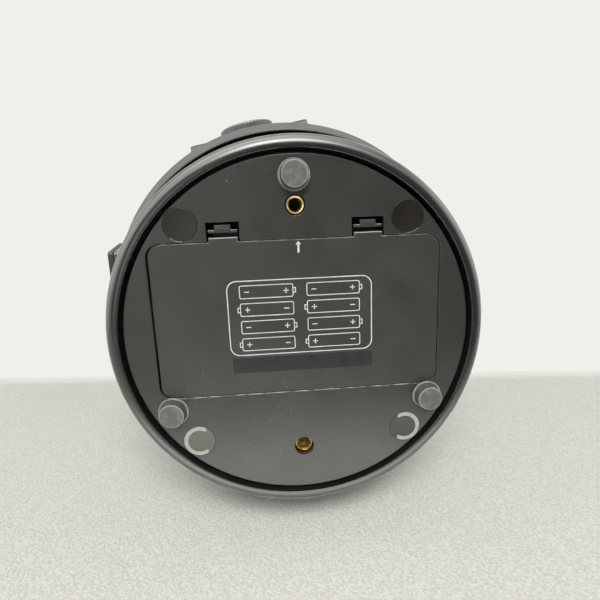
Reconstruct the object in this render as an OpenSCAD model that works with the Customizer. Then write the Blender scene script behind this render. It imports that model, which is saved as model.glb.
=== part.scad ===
// Small fork-mounted mirror-lens telescope on a round motorised base.
// Millimetres. Z runs up the azimuth axis from the plane that the three feet stand on.
// The tube is stowed upright, and the fork is turned a little about the azimuth axis.

/* [Base shell] */
// Outer radius of the rounded rim around the underside
rim_r = 83; // [81:0.5:88]
// Width of the rim from its inner lip to its outside
rim_w = 6.1; // [5.2:0.1:6.8]
// Radius of the rim's round section
bead_r = 5; // [4.4:0.1:5.6]
// Height of the rim above the plane of the feet
rim_lift = 2.8; // [2:0.1:4]
// Thickness of the moulded walls
wall = 3; // [2.4:0.1:3.6]
// Height of the shoulder of the drum
drum_h = 44; // [43:0.5:50]
// Radius of the drum at its shoulder
drum_r = 88.5; // [87:0.5:92]
// Height of the collar above the shoulder
collar_h = 6; // [5:0.5:9]
// Width of the shoulder that the azimuth circle rests on
shoulder_w = 1.3; // [1:0.1:2]

/* [Bottom plate] */
// Height of the outer face of the plate above the plane of the feet
plate_z = 4.75; // [4.2:0.05:6]
// Thickness of the plate
plate_t = 2.5; // [2.2:0.1:3]
// Width of the groove between the plate and the rim
groove_w = 1.8; // [1.2:0.1:2.4]
// Distance between the recess of a foot and the edge of the plate
foot_edge = 1.9; // [1:0.1:3]
// Diameter of a rubber foot
foot_d = 11.2; // [10:0.1:12.4]
// Distance between an insert and the recess of the foot beside it
insert_gap = 1.675; // [0.6:0.025:3]
// Outside diameter of an insert
insert_d = 7.4; // [7:0.1:9]
// Bore of an insert, the core of a quarter-inch tripod thread
insert_bore = 5.1; // [4.5:0.1:6]
// Length of an insert
insert_len = 12; // [8:0.5:15]
// Depth of the recessed insert below the face of the plate
insert_sink = 2.5; // [1:0.1:4]
// Diameter of the plug over a plate screw
plug_d = 14; // [12:0.1:14.4]

/* [Battery compartment] */
// Width of the cover
cover_w = 123.4; // [120:0.1:124.6]
// Height of the cover from its hinge edge to its latch edge
cover_h = 67.4; // [66.5:0.05:68]
// Distance of the hinge edge from the azimuth axis
cover_low = 26.8; // [26:0.1:28]
// Corner radius of the cover
cover_corner = 5.5; // [4:0.1:8]
// Thickness of the cover
cover_t = 2.2; // [1.8:0.1:2.3]
// Gap around the cover
cover_gap = 0.25; // [0.2:0.05:0.4]
// Further play of the cover at its end towards the control panel
cover_play = 0.6; // [0:0.1:1]
// Width of a latch window
latch_w = 13.6; // [11:0.1:15]
// Height of a latch window above the cover
latch_h = 8.1; // [7.8:0.1:8.6]
// Distance of a latch window from the centre line
latch_x = 30.4; // [26:0.1:31]
// Diameter of a cell
cell_d = 14.2; // [13.5:0.1:14.4]
// Length of a cell
cell_len = 50.5; // [49:0.1:51]

/* [Control panel] */
// Distance of the panel's face from the azimuth axis
panel_x = 85; // [84:0.5:88]
// Height of the panel
panel_h = 18.5; // [17.5:0.1:19.5]
// Width of the panel at its lower edge
panel_w = 74; // [72:0.5:78]
// Widening of the panel at its upper edge
panel_flare = 7; // [0:0.5:9]
// Thickness of the panel
panel_t = 2.5; // [2:0.1:3]

/* [Turntable and fork] */
// Turn of the fork about the azimuth axis
fork_turn = 11.5; // [0:0.5:30]
// Flare of the skirt between its lower and upper edges
skirt_flare = 7.25; // [5:0.05:9]
// Radius of the skirt at its upper edge
skirt_r = 100.15; // [99:0.05:104]
// Height of the skirt
skirt_h = 19.3; // [17:0.1:24]
// Rounding of the top edge of the turntable
edge_r = 3.3; // [2:0.1:4]
// Radius of the azimuth shaft
shaft_r = 12; // [10:0.5:13]
// Clear width between the tube and each fork arm
arm_clear = 10.5; // [10.5:0.1:14]
// Distance of the outer face of an arm from the edge of the turntable
arm_edge = 1.15; // [0.5:0.05:3]
// Width of a fork arm at its foot
arm_w = 67; // [66:0.5:76]
// Radius of the round top of a fork arm
arm_top_r = 33; // [31:0.5:35]
// Clear height between the turntable and the back of the upright tube
rear_clear = 28; // [25:0.5:36]
// Radius of a trunnion
trunnion_r = 8; // [7:0.5:9]
// Diameter of the altitude lock knob
knob_d = 42.6; // [36:0.2:46]
// Length of the altitude lock knob
knob_len = 21.2; // [16:0.2:26]
// Diameter of the declination circle
dial_d = 62; // [50:1:66]

/* [Optical tube] */
// Outside diameter of the main tube
tube_d = 103; // [102:0.2:103.4]
// Wall of the main tube
tube_t = 1.5; // [1:0.1:1.8]
// Distance from the altitude axis to the front of the tube
front_reach = 193; // [188:0.5:205]
// Distance from the altitude axis to the back face of the rear cell
rear_reach = 86; // [85:0.5:87]
// Length of the rear cell
rear_len = 54; // [53:0.5:55]
// Length of the front cell
front_len = 23; // [21:0.5:27]
// Width of the front cell's rim around the meniscus
lens_rim = 5; // [4.6:0.1:7]
// Radius of the front surface of the meniscus
lens_curve = 130; // [120:1:150]
// Thickness of the meniscus
lens_t = 10; // [8:0.5:11]
// Gap around the primary mirror in the tube
mirror_gap = 2; // [1:0.1:4]
// Outer radius of the primary baffle tube
baffle_r = 13; // [12:0.2:14]
// Travel of the primary mirror each way from its middle
focus_travel = 4; // [2:0.5:5]

/* [Rear fittings] */
// Bore of the eyepiece holder
port_bore = 31.85; // [31.8:0.05:32]
// Length of the eyepiece holder outside the rear cell
port_len = 24; // [20:0.5:28]
// Length of the eyepiece outside its holder
eyepiece_len = 38; // [30:0.5:44]
// Diameter of the body of the eyepiece
eyepiece_d = 35; // [33:0.5:38]
// Distance of the focus screw from the tube axis
focus_r = 35.4; // [34:0.1:37]
// Diameter of the focus knob
focus_d = 16; // [12:0.5:18]
// Diameter of the cap on the photo port
cap_d = 44; // [42:0.5:48]
// Angle between the eyepiece flange and the foot of the finder
finder_space = 3.33; // [2:0.01:8]
// Distance of the finder axis from the rear cell
finder_clear = 26; // [24:0.5:32]
// Length of the finder
finder_len = 118; // [100:1:130]
// Diameter of the finder tube
finder_d = 22; // [20:0.5:24]

/* [Hidden] */
$fn = 96;

// Clearances: a running fit on the radius, a seat, and the gap between faces that move past each other
fit = 0.05;
seat = 0.1;
gap = 0.3;
// Overlap that makes two shapes of one piece into one solid
eps = 0.5;

// Screws: radius of the shank and of the head, and height of the head
screw_r = 1.5;
head_r = 3;
head_h = 2.2;

// Base
bead_z = rim_lift + bead_r;
rim_in = rim_r - rim_w;
neck_h = 5.2;
neck_z = bead_z + neck_h;
neck_out = 1;
plate_r = rim_in - groove_w;
plate_in = plate_z + plate_t;
ledge_z = plate_in + 4.75;
ledge_t = 2;
seat_in = plate_r - 4.1;
seat_out = plate_r - 2.1;
collar_r = drum_r - shoulder_w;
deck_z = drum_h + collar_h;
deck_low = deck_z - wall;
boss_r = 5;
cup_t = 1.5;
plate_screw_len = 12;
plate_screw_room = 2;
cup_in = plate_z + 3.75;
cup_out = cup_in + cup_t;
plug_t = 1;
plug_sink = 0.8;
plug_gap = 0.1;
foot_ring = 1;
foot_sink = 0.8;
foot_stem_r = 2.5;
foot_barb_r = 4;
foot_barb_t = 1.6;
foot_round = 0.8;
foot_circle = plate_r - foot_edge - foot_ring - foot_d / 2;
insert_y = foot_circle - foot_d / 2 - foot_ring - insert_gap - insert_d / 2;
rib = 0.35;
plug_out = plug_d / 2 + plug_gap + rib;
screw_y = cover_h - cover_low + cover_gap + plug_out;
screw_x = sqrt(pow(plate_r - plug_out, 2) - pow(screw_y, 2));
insert_boss_t = 2.8;

// Azimuth drive, stacked on the shaft from the bushing down
bush_t = 4;
bush_r = shaft_r + bush_t;
bush_flange = 12;
bush_flange_r = shaft_r + bush_flange;
bush_flange_t = 1.5;
sleeve_r = bush_r + wall;
wheel_t = 4.4;
wheel_drop = 9.8;
wheel_z = deck_low - wheel_drop - wheel_t;
bush_low = wheel_z + wheel_t + gap;
wheel_r = 38;
wheel_teeth = 72;
tooth_h = 1.2;
worm_r = 5;
worm_len = 20;
worm_axis_r = 1.5;
worm_x = wheel_r + worm_r + gap;
worm_z = wheel_z + wheel_t / 2;
motor_r = 9.4;
motor_len = 22;
motor_y = worm_len / 2 + 9;
bracket_t = 3;
nut_h = 4.2;
nut_r = shaft_r + 6;
shaft_low = wheel_z - gap - nut_h;

// Battery compartment
cover_top = cover_h - cover_low;
tray_wall = 1.5;
cell_pitch = cell_d + 0.4;
cell_rows = 4;
cell_z = plate_z + cover_t + 1.2 + cell_d / 2;
contact_t = 0.6;
contact_space = 3.6;
contact_half = 5.5;
contact_button = 3;
cell_nub = 1.3;
cell_nub_r = 2.7;
tray_x = cell_len + contact_space + contact_t;
tray_mid = (cover_top - cover_low) / 2;
tray_half = cell_rows * cell_pitch / 2 + gap;
tray_top = cell_z + cell_d / 2 + gap;
tray_ear = 9;
ear_t = 2.2;
ear_half = 12;
tongue_x = 40;
tongue_w = 10;
tongue_reach = 4;
tongue_t = 1.2;
latch_tab = 1.9;
latch_gap = 1.9;
latch_t = 1.2;
latch_depth = 8;
latch_pad = 2;
latch_clear = 0.75;

// Control panel
panel_top = drum_h - 0.5;
panel_low = panel_top - panel_h;
panel_back = panel_x - panel_t;
panel_mid = (panel_top + panel_low) / 2;
housing_depth = 10.5;
housing_x = panel_back - housing_depth;
board_depth = 16.5;
board_x = panel_back - board_depth;
board_t = 1.6;
chip_pitch = 16;
chip_mid = -2;
chip_half_w = 5;
chip_half_h = 3.5;
chip_t = 2;
switch_side = 1.5;
switch_over = 1;
board_half = panel_w / 2 - wall - 0.6;
board_low = panel_low + wall;
board_top = panel_top - wall;
panel_screw_r = 1.1;
panel_screw_len = 6;
panel_screw_room = 1;
panel_head_h = 1.2;
panel_screw_y = panel_w / 2 - wall / 2 + 0.8;
flange = 0.8;
flange_t = 1.2;
jack_y = 27.8;
switch_y = 16.8;
light_y = 12;
aux_high_y = 3.4;
aux_low_y = -10.6;
aux_ys = [aux_high_y, aux_low_y];
aux_w = 11.6;
aux_h = 9.4;
aux_in_w = 9.8;
aux_in_h = 6.8;
aux_in = [aux_in_w, aux_in_h];
hand_y = -25.8;
hand_w = 14;
hand_h = 10.6;
hand_in_w = 11.9;
hand_in_h = 8.2;
hand_in = [hand_in_w, hand_in_h];
socket_depth = 13;
jack_r = 4.6;
jack_bore = 2.8;
jack_pin = 1;
light_r = 1.5;
slider_w = 4;
slider_h = 3;
slider_out = 1.8;
switch_travel = 3;
shoe = 0.8;
shoe_t = 2.5;

// Turntable
skirt_gap = 1.4;
skirt_lip = 0.7;
skirt_z = deck_z + skirt_gap;
skirt_low_r = skirt_r - skirt_flare;
table_top = skirt_z + skirt_h + edge_r;
table_under = table_top - wall;
hub_r = bush_flange_r;
hub_z = deck_z + bush_flange_t + gap;
lever_x = skirt_r - 20;
lever_pin_r = 4;
lever_h = 6;
lever_r = 9;
lever_len = 25;

// Fork arms, given on the side of positive Y in the fork's own frame
axis_h = table_top + rear_clear + rear_reach;
arm_in = tube_d / 2 + arm_clear;
arm_out = skirt_r - arm_edge;
cover_y = arm_in + wall;
arm_foot = 6;
arm_slope = 3;
cavity_lift = 16;
bearing_t = 2.5;
bearing_r = trunnion_r + bearing_t;
knob_boss = 3.5;
knob_boss_r = knob_d / 2 + 1.5;
stud_r = 4;
knob_y = arm_out + knob_boss + gap;
arm_screw_x = 22;
arm_screw_in = 0.5;
arm_screw_y = (arm_in + arm_out) / 2 - arm_screw_in;
arm_screw_len = 12;
arm_screw_r = 2;
arm_wheel_r = 24;
arm_wheel_t = 6;
arm_wheel_y = cover_y + 5;
arm_teeth = 60;
arm_worm_r = 4.6;
arm_worm_z = axis_h - arm_wheel_r - arm_worm_r - gap;
arm_worm_y = arm_wheel_y + arm_wheel_t / 2;
arm_worm_x = 23;
arm_motor_r = 7.4;
arm_motor_x = 13;
arm_motor_len = 15;
dial_t = 2.7;

// Optical tube, given in the fork's own frame with the tube upright
tube_r = tube_d / 2;
tube_in = tube_r - tube_t;
cell_r = tube_r + 0.5;
tube_front = axis_h + front_reach;
tube_back = axis_h - rear_reach;
rear_top = tube_back + rear_len;
front_low = tube_front - front_len;
spigot = 10;
spigot_r = tube_in - fit;
cell_wall = 4;
bulkhead_t = 4;
bulkhead_top = rear_top + bulkhead_t;
adapter_r = 30;
adapter_y = arm_in - 0.4;
adapter_screw = 18;
adapter_tip = sqrt(pow(tube_in, 2) - pow(adapter_screw, 2)) - 0.4;
lens_r = tube_r - lens_rim;
lens_front = tube_front - 9;
lens_centre = lens_front + sqrt(pow(lens_curve, 2) - pow(lens_r, 2));
lens_back_r = lens_curve + lens_t;
lens_seat_r = lens_r - 2;
lens_seat = lens_centre - sqrt(pow(lens_back_r, 2) - pow(lens_seat_r, 2)) - seat;
ring_t = 2.5;
spot_r = 12;
spot_t = 0.3;
spot_z = lens_centre - lens_back_r;
hood_len = 26;
hood_r = spot_r + 1;
hood_t = 1;
hood_top = lens_centre - sqrt(pow(lens_back_r, 2) - pow(hood_r + hood_t, 2)) - gap;
mirror_lift = 6.2;
mirror_z = axis_h + mirror_lift;
mirror_d = 2 * (tube_in - mirror_gap);
mirror_t = 12;
mirror_curve = 600;
mirror_bore = baffle_r + 3.1;
baffle_t = 1.5;
baffle_len = 125;
baffle_flange = 12;
baffle_flange_r = baffle_r + baffle_flange;
baffle_flange_t = 3;
carriage_len = 30;
carriage_t = 4;
carriage_r = 30;
carriage_z = mirror_z - 0.2 - carriage_t;
focus_dir = 133;
focus_screw_r = 2;
focus_nut_r = 5;
focus_nut_len = 18;
focus_end = carriage_z - focus_nut_len / 2 - 1;
focus_low = tube_back - gap - 15;
flip_len = 44;
flip_w = 34;
flip_t = 4;
flip_x = 17;
port_lift = 26;
port_z = tube_back + port_lift;
flip_z = port_z + flip_x;
flip_pin_r = 2;
flip_post_y = flip_w / 2 + 3;
flip_knob_r = 9;
flip_knob_t = 7;
flip_wall_y = sqrt(pow(cell_r, 2) - pow(flip_x - flip_knob_r, 2));
port_r = port_bore / 2;
port_wall = 3.6;
port_out = port_r + port_wall;
port_flange = 2.4;
port_in_x = cell_r - 7;
port_end = cell_r + port_len;
barrel_r = port_r - fit;
barrel_in = port_in_x + 2;
cup_len = 9;
thumb_x = port_end - 9;
thumb_r = 5;
photo_r = 20;
photo_thread = 2.5;
photo_len = 6;
cap_t = 2.5;
cap_len = 8;
finder_z = tube_back + 2;
finder_top = finder_z + finder_len;
finder_wall = 1.5;
finder_tube_r = finder_d / 2;
bell_r = finder_tube_r + 3.5;
bell_len = 32;
ring_r = finder_tube_r + 4.5;
ring_wall = 2.5;
ring_h = 6;
low_ring = 20;
high_ring = 40;
ring_zs = [tube_back + low_ring, tube_back + high_ring];
bracket_w = 14;
finder_r = cell_r + finder_clear;
finder_angle = asin((port_out + port_flange) / cell_r) + asin(bracket_w / 2 / cell_r) + finder_space;
bracket_rim = 5;
bracket_low = tube_back + low_ring - bracket_rim;
bracket_top = tube_back + high_ring + ring_h + bracket_rim;
bracket_pad = 3;
bracket_sink = 4;
web_half = 4;
eye_len = 14;
eye_step = 1.5;
eye_lip = 4;
eye_lip_t = 3;
bell_taper = 6;
finder_glass_t = 4;
finder_glass_in = 4;
eye_glass_t = 3;
finder_head_t = 3.5;
finder_head_gap = 1;

// A point of the tangent from a corner of the foot to the round top of an arm
function arm_touch(half, low, r) =
    let (dx = half, dz = low - axis_h, far = norm([dx, dz]), a = atan2(dz, dx) + acos(r / far))
    [r * cos(a), axis_h + r * sin(a)];

module on_fork() { rotate([0, 0, -fork_turn]) children(); }

module rod_x(r, x0, x1) { translate([x0, 0, 0]) rotate([0, 90, 0]) cylinder(r = r, h = x1 - x0); }

module rod_y(r, y0, y1) { translate([0, y0, 0]) rotate([-90, 0, 0]) cylinder(r = r, h = y1 - y0); }

module rod_z(r, z0, z1) { translate([0, 0, z0]) cylinder(r = r, h = z1 - z0); }

module block(x0, x1, y0, y1, z0, z1) { translate([x0, y0, z0]) cube([x1 - x0, y1 - y0, z1 - z0]); }

// Extrudes an outline drawn in X and Z from y0 to y1
module slab(y0, y1) { translate([0, y1, 0]) rotate([90, 0, 0]) linear_extrude(y1 - y0) children(); }

module round_rect(x0, x1, y0, y1, r) {
    translate([x0 + r, y0]) square([x1 - x0 - 2 * r, y1 - y0]);
    translate([x0, y0 + r]) square([x1 - x0, y1 - y0 - 2 * r]);
    for (x = [x0 + r, x1 - r], y = [y0 + r, y1 - r]) translate([x, y]) circle(r);
}

module at_plate_screws() {
    for (x = [-1, 1], y = [-1, 1]) translate([x * screw_x, y * screw_y, 0]) children();
}

module at_feet() { for (a = [90, 210, 330]) rotate([0, 0, a]) translate([foot_circle, 0, 0]) children(); }

module at_panel_screws() { for (s = [-1, 1]) translate([0, s * panel_screw_y, panel_mid]) children(); }

module toothed(r, teeth, h) {
    pitch = 360 / teeth;
    root = r - h;
    linear = [for (i = [0:teeth - 1], s = [[0, root], [0.3, root], [0.45, r], [0.85, r]])
        [s[1] * cos(pitch * (i + s[0])), s[1] * sin(pitch * (i + s[0]))]];
    polygon(linear);
}

// Flutes around a knob that stands on the plane z = 0
module flutes(r, count, cut, h) {
    for (i = [0:count - 1]) rotate([0, 0, i * 360 / count]) translate([r + cut * 0.45, 0, -eps])
        cylinder(r = cut, h = h + 2 * eps, $fn = 24);
}

module shell_profile() {
    polygon([
        [rim_in, bead_z], [rim_r, bead_z], [rim_r + neck_out, neck_z], [drum_r, drum_h],
        [collar_r, drum_h],
        [collar_r, deck_z], [bush_r + fit, deck_z], [bush_r + fit, bush_low], [sleeve_r, bush_low],
        [sleeve_r, deck_low], [collar_r - wall, deck_low], [collar_r - wall, drum_h - wall],
        [rim_in + rim_w - wall, ledge_z + ledge_t], [seat_in, ledge_z + ledge_t], [seat_in, plate_in],
        [seat_out, plate_in], [seat_out, ledge_z], [rim_in, ledge_z]
    ]);
    intersection() {
        translate([rim_r - bead_r, bead_z]) circle(bead_r);
        translate([rim_in, 0]) square([rim_w + 1, bead_z + eps]);
    }
}

// Outline of the control panel in Y and Z, grown by a margin
module panel_outline(margin) {
    low = panel_w / 2 + margin;
    top = low + panel_flare / 2;
    polygon([[-low, panel_low - margin], [low, panel_low - margin],
        [top, panel_top + margin], [-top, panel_top + margin]]);
}

// Extrudes an outline drawn in Y and Z from x0 to x1
module panel_slab(x0, x1) {
    translate([x0, 0, 0]) rotate([90, 0, 90]) linear_extrude(x1 - x0) children();
}

module base_shell() {
    color("#26272a") difference() {
        union() {
            rotate_extrude($fn = 180) shell_profile();
            panel_slab(housing_x, panel_back) panel_outline(0);
            at_plate_screws() rod_z(boss_r, cup_out, deck_low + eps);
        }
        panel_slab(panel_back, drum_r + wall) panel_outline(seat);
        block(housing_x - wall, panel_back + eps, wall - panel_w / 2, panel_w / 2 - wall,
            panel_low + wall, panel_top - wall);
        at_panel_screws() rod_x(panel_screw_r + fit, panel_back - panel_screw_len - panel_screw_room,
            panel_back + eps);
        at_plate_screws() rod_z(plug_d / 2 + cup_t + gap, plate_in - eps, cup_out);
        at_plate_screws() rod_z(screw_r + fit, cup_out - eps, cup_out + plate_screw_len + plate_screw_room);
    }
}

module cover_outline(margin, play) {
    round_rect(-cover_w / 2 - margin, cover_w / 2 + margin + play, -cover_low - margin,
        cover_top + margin,
        cover_corner + margin);
}

module at_latches() { for (s = [-1, 1]) translate([s * latch_x, 0, 0]) children(); }

module bottom_plate() {
    color("#3a3b3d") difference() {
        union() {
            rod_z(plate_r, plate_z, plate_in);
            at_plate_screws() rod_z(plug_d / 2 + cup_t, plate_z, cup_out);
            for (s = [-1, 1]) translate([0, s * insert_y, 0])
                rod_z(insert_d / 2 + insert_boss_t, plate_z, plate_z + insert_sink + insert_len);
        }
        translate([0, 0, plate_z - eps]) linear_extrude(plate_t + 2 * eps)
            cover_outline(cover_gap, cover_play);
        translate([0, 0, plate_z - eps]) linear_extrude(cup_out) at_latches()
            translate([-latch_w / 2, cover_top]) square([latch_w, latch_h]);
        at_feet() {
            rod_z(foot_d / 2 + foot_ring, plate_z - eps, plate_z + foot_sink);
            rod_z(foot_stem_r + fit, plate_z - eps, plate_in + eps);
        }
        for (s = [-1, 1]) translate([0, s * insert_y, 0])
            rod_z(insert_d / 2 + fit, plate_z - eps, plate_z + insert_sink + insert_len + eps);
        at_plate_screws() {
            rod_z(plug_d / 2 + plug_gap, plate_z - eps, plate_z + plug_sink);
            rod_z(head_r + plug_gap * 10, plate_z, cup_in);
            rod_z(screw_r + fit, plate_z, cup_out + eps);
        }
    }
}

module rubber_feet() {
    color("#6d6e6c") at_feet() rotate_extrude() {
        polygon([[0, 0], [foot_d / 2 - foot_round, 0], [foot_d / 2, foot_round],
            [foot_d / 2, plate_z + foot_sink],
            [foot_stem_r, plate_z + foot_sink], [foot_stem_r, plate_in], [foot_barb_r, plate_in],
            [foot_stem_r, plate_in + foot_barb_t], [0, plate_in + foot_barb_t]]);
        intersection() {
            translate([foot_d / 2 - foot_round, foot_round]) circle(foot_round);
            square([foot_d, 2 * foot_round]);
        }
    }
}

// One insert, with a chamfered mouth at z = 0
module insert() {
    chamfer = 0.6;
    rotate_extrude() polygon([[insert_bore / 2 + chamfer, 0], [insert_d / 2, 0],
        [insert_d / 2, insert_len],
        [insert_bore / 2, insert_len], [insert_bore / 2, chamfer]]);
}

module tripod_inserts() {
    color("#b08d4a") {
        translate([0, insert_y, plate_z]) insert();
        translate([0, -insert_y, plate_z + insert_sink]) insert();
    }
}

module screw_plugs() {
    color("#333335") at_plate_screws()
        rod_z(plug_d / 2, plate_z + plug_sink - plug_t, plate_z + plug_sink);
}

module plate_screws() {
    color("#8d9094") at_plate_screws() {
        rod_z(head_r, cup_in - head_h, cup_in);
        rod_z(screw_r, cup_in - eps, cup_out + plate_screw_len);
    }
}

module battery_tray() {
    color("#1e1f21") difference() {
        union() {
            block(-tray_x - tray_wall, tray_x + tray_wall, tray_mid - tray_half - tray_wall,
                tray_mid + tray_half + tray_wall, plate_in, tray_top + tray_wall);
            block(-tray_x - tray_ear, tray_x + tray_ear, tray_mid - ear_half, tray_mid + ear_half,
                plate_in, plate_in + ear_t);
        }
        block(-tray_x, tray_x, tray_mid - tray_half, tray_mid + tray_half, plate_in - eps, tray_top);
        for (s = [-1, 1]) translate([s * tongue_x, 0, 0])
            block(-tongue_w / 2 - 1, tongue_w / 2 + 1, -cover_low - 1, tray_mid - tray_half + eps,
                plate_in - eps, plate_in + 6);
    }
}

module at_cells() {
    for (i = [0:cell_rows - 1], s = [-1, 1])
        translate([0, tray_mid + (i - (cell_rows - 1) / 2) * cell_pitch, cell_z])
            mirror([i % 2, 0, 0]) translate([s > 0 ? gap / 2 : -cell_len - gap / 2, 0, 0]) children();
}

module batteries() {
    color("#4f5357") at_cells() {
        rod_x(cell_d / 2, 0, cell_len - cell_nub);
        rod_x(cell_nub_r, cell_len - cell_nub - eps, cell_len);
    }
}

module battery_contacts() {
    color("#c9ccd0") for (s = [-1, 1], i = [0:cell_rows - 1]) mirror([s > 0 ? 0 : 1, 0, 0])
        translate([0, tray_mid + (i - (cell_rows - 1) / 2) * cell_pitch, cell_z]) {
            block(tray_x - contact_t, tray_x, -contact_half, contact_half, -contact_half, contact_half);
            rod_x(contact_button, cell_len + gap, tray_x - contact_t + eps / 2);
        }
}

// A spring latch at the top edge of the cover: a U of plastic with a finger pad, around x = 0
module latch() {
    half = latch_w / 2 - latch_clear;
    tab = cover_top + latch_tab;
    leg = tab + latch_gap;
    low = plate_z + cover_t - eps;
    deep = low + latch_depth;
    block(-half, half, cover_top - eps, tab, plate_z, plate_z + cover_t);
    block(-half, half, tab - latch_t, tab, low, deep);
    block(-half, half, tab - latch_t, leg + latch_t, deep - latch_t, deep);
    block(-half, half, leg, leg + latch_t, plate_z + 0.6, deep);
    block(-half * 0.55, half * 0.55, leg + latch_t - eps, leg + latch_t + latch_pad, plate_z + 0.4,
        plate_z + 2);
}

// A tongue at the hinge edge of the cover, with a round end about the line that the cover swings on
module tongue() {
    rise = plate_in + gap + tongue_t;
    intersection() {
        union() {
            block(-tongue_w / 2, tongue_w / 2, -cover_low, tongue_t - cover_low, plate_z, rise);
            block(-tongue_w / 2, tongue_w / 2, -cover_low - tongue_reach, tongue_t - cover_low,
                rise - tongue_t, rise);
        }
        translate([0, -cover_low, plate_z]) rod_x(rise - plate_z, -tongue_w, tongue_w);
    }
}

module battery_cover() {
    color("#3a3b3d") {
        translate([0, 0, plate_z]) linear_extrude(cover_t) cover_outline(0, 0);
        at_latches() latch();
        for (s = [-1, 1]) translate([s * tongue_x, 0, 0]) tongue();
    }
}

module control_panel() {
    color("#2b2c2e") difference() {
        panel_slab(panel_back, panel_x) panel_outline(0);
        at_panel_screws() rod_x(panel_screw_r + fit, panel_back - eps, panel_x + eps);
        translate([0, 0, panel_mid]) {
            block(panel_back - eps, panel_x + eps, hand_y - hand_w / 2 - seat, hand_y + hand_w / 2 + seat,
                -hand_h / 2 - seat, hand_h / 2 + seat);
            for (y = aux_ys) block(panel_back - eps, panel_x + eps, y - aux_w / 2 - seat,
                y + aux_w / 2 + seat,
                -aux_h / 2 - seat, aux_h / 2 + seat);
            translate([0, jack_y, 0]) rod_x(jack_r + fit, panel_back - eps, panel_x + eps);
            translate([0, light_y, 0]) rod_x(light_r + fit, panel_back - eps, panel_x + eps);
            block(panel_back - eps, panel_x + eps, switch_y - slider_w / 2 - gap,
                switch_y + slider_w / 2 + switch_travel + gap, -slider_h / 2 - gap, slider_h / 2 + gap);
        }
    }
}

// A square data socket that is open towards the outside
module socket(y, w, h, inner) {
    translate([0, y, panel_mid]) difference() {
        union() {
            block(board_x, panel_x, -w / 2, w / 2, -h / 2, h / 2);
            block(panel_back - flange_t, panel_back, -w / 2 - flange, w / 2 + flange, -h / 2 - flange,
                h / 2 + flange);
        }
        block(panel_x - socket_depth, panel_x + eps, -inner[0] / 2, inner[0] / 2, -inner[1] / 2,
            inner[1] / 2);
    }
}

module data_sockets() {
    color("#151517") {
        socket(hand_y, hand_w, hand_h, hand_in);
        for (y = aux_ys) socket(y, aux_w, aux_h, aux_in);
    }
}

module power_jack() {
    color("#17181a") translate([0, jack_y, panel_mid]) {
        difference() {
            union() {
                rod_x(jack_r, board_x, panel_x + 0.6);
                rod_x(jack_r + 0.6, panel_back - flange_t, panel_back);
            }
            rod_x(jack_bore, panel_x - 9, panel_x + 1);
        }
        rod_x(jack_pin, panel_x - 9 - eps, panel_x - 1.5);
    }
}

module power_light() {
    color("#c0281f") translate([0, light_y, panel_mid]) {
        rod_x(light_r, board_x, panel_x);
        intersection() {
            translate([panel_x, 0, 0]) sphere(light_r);
            rod_x(light_r + 1, panel_x - eps, panel_x + light_r + 1);
        }
    }
}

module power_switch() {
    color("#111113") translate([0, switch_y, panel_mid]) {
        block(panel_back - shoe_t, panel_x + slider_out, -slider_w / 2, slider_w / 2, -slider_h / 2,
            slider_h / 2);
        block(panel_back - gap - shoe_t, panel_back - gap, -slider_w / 2 - shoe, slider_w / 2 + shoe,
            -slider_h / 2 - shoe, slider_h / 2 + shoe);
    }
}

module panel_screws() {
    color("#9a9da1") at_panel_screws() {
        rod_x(panel_screw_r, panel_back - panel_screw_len, panel_x + eps);
        rod_x(2 * panel_screw_r, panel_x, panel_x + panel_head_h);
    }
}

module circuit_board() {
    back = panel_back - 2 * gap - shoe_t;
    color("#1f5b3a") {
        block(board_x - board_t, board_x, -board_half, board_half, board_low, board_top);
        translate([0, switch_y + switch_travel / 2, panel_mid])
            block(board_x, back, -slider_w / 2 - switch_side, slider_w / 2 + switch_side,
                -slider_h / 2 - switch_over, slider_h / 2 + switch_over);
        for (k = [-1:1]) translate([board_x - board_t, chip_mid + k * chip_pitch, panel_mid])
            block(-chip_t, 0, -chip_half_w, chip_half_w, -chip_half_h, chip_half_h);
    }
}

module azimuth_bushing() {
    color("#c9b48a") rotate_extrude() polygon([[shaft_r + fit, bush_low], [bush_r, bush_low],
        [bush_r, deck_z],
        [bush_flange_r, deck_z], [bush_flange_r, deck_z + bush_flange_t],
        [shaft_r + fit, deck_z + bush_flange_t]]);
}

module azimuth_wheel() {
    color("#d8d2c2") translate([0, 0, wheel_z]) linear_extrude(wheel_t) difference() {
        toothed(wheel_r, wheel_teeth, tooth_h);
        circle(shaft_r + gap);
    }
}

module azimuth_worm() {
    color("#b9bcc0") translate([-worm_x, 0, worm_z]) {
        rod_y(worm_r, -worm_len / 2, worm_len / 2);
        rod_y(worm_axis_r, -worm_len / 2 - 5, motor_y);
    }
}

module azimuth_motor() {
    lug_y = worm_len / 2 + 1;
    color("#6f7276") translate([-worm_x, 0, 0]) difference() {
        union() {
            translate([0, 0, worm_z]) rod_y(motor_r, motor_y, motor_y + motor_len);
            block(-motor_r + 1, motor_r - 1, -lug_y - bracket_t, motor_y + motor_len - 2,
                deck_low - bracket_t, deck_low);
            block(-4, 4, -lug_y - bracket_t, -lug_y, worm_z - 4, deck_low);
            block(-4, 4, motor_y, motor_y + bracket_t, worm_z, deck_low);
        }
        translate([0, 0, worm_z]) rod_y(worm_axis_r + fit, -lug_y - bracket_t - eps, motor_y - eps);
    }
}

module azimuth_circle() {
    color("#b9bbb8") rotate_extrude($fn = 180)
        translate([collar_r + fit, drum_h + gap]) square([shoulder_w + gap, collar_h - gap - seat]);
}

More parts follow.
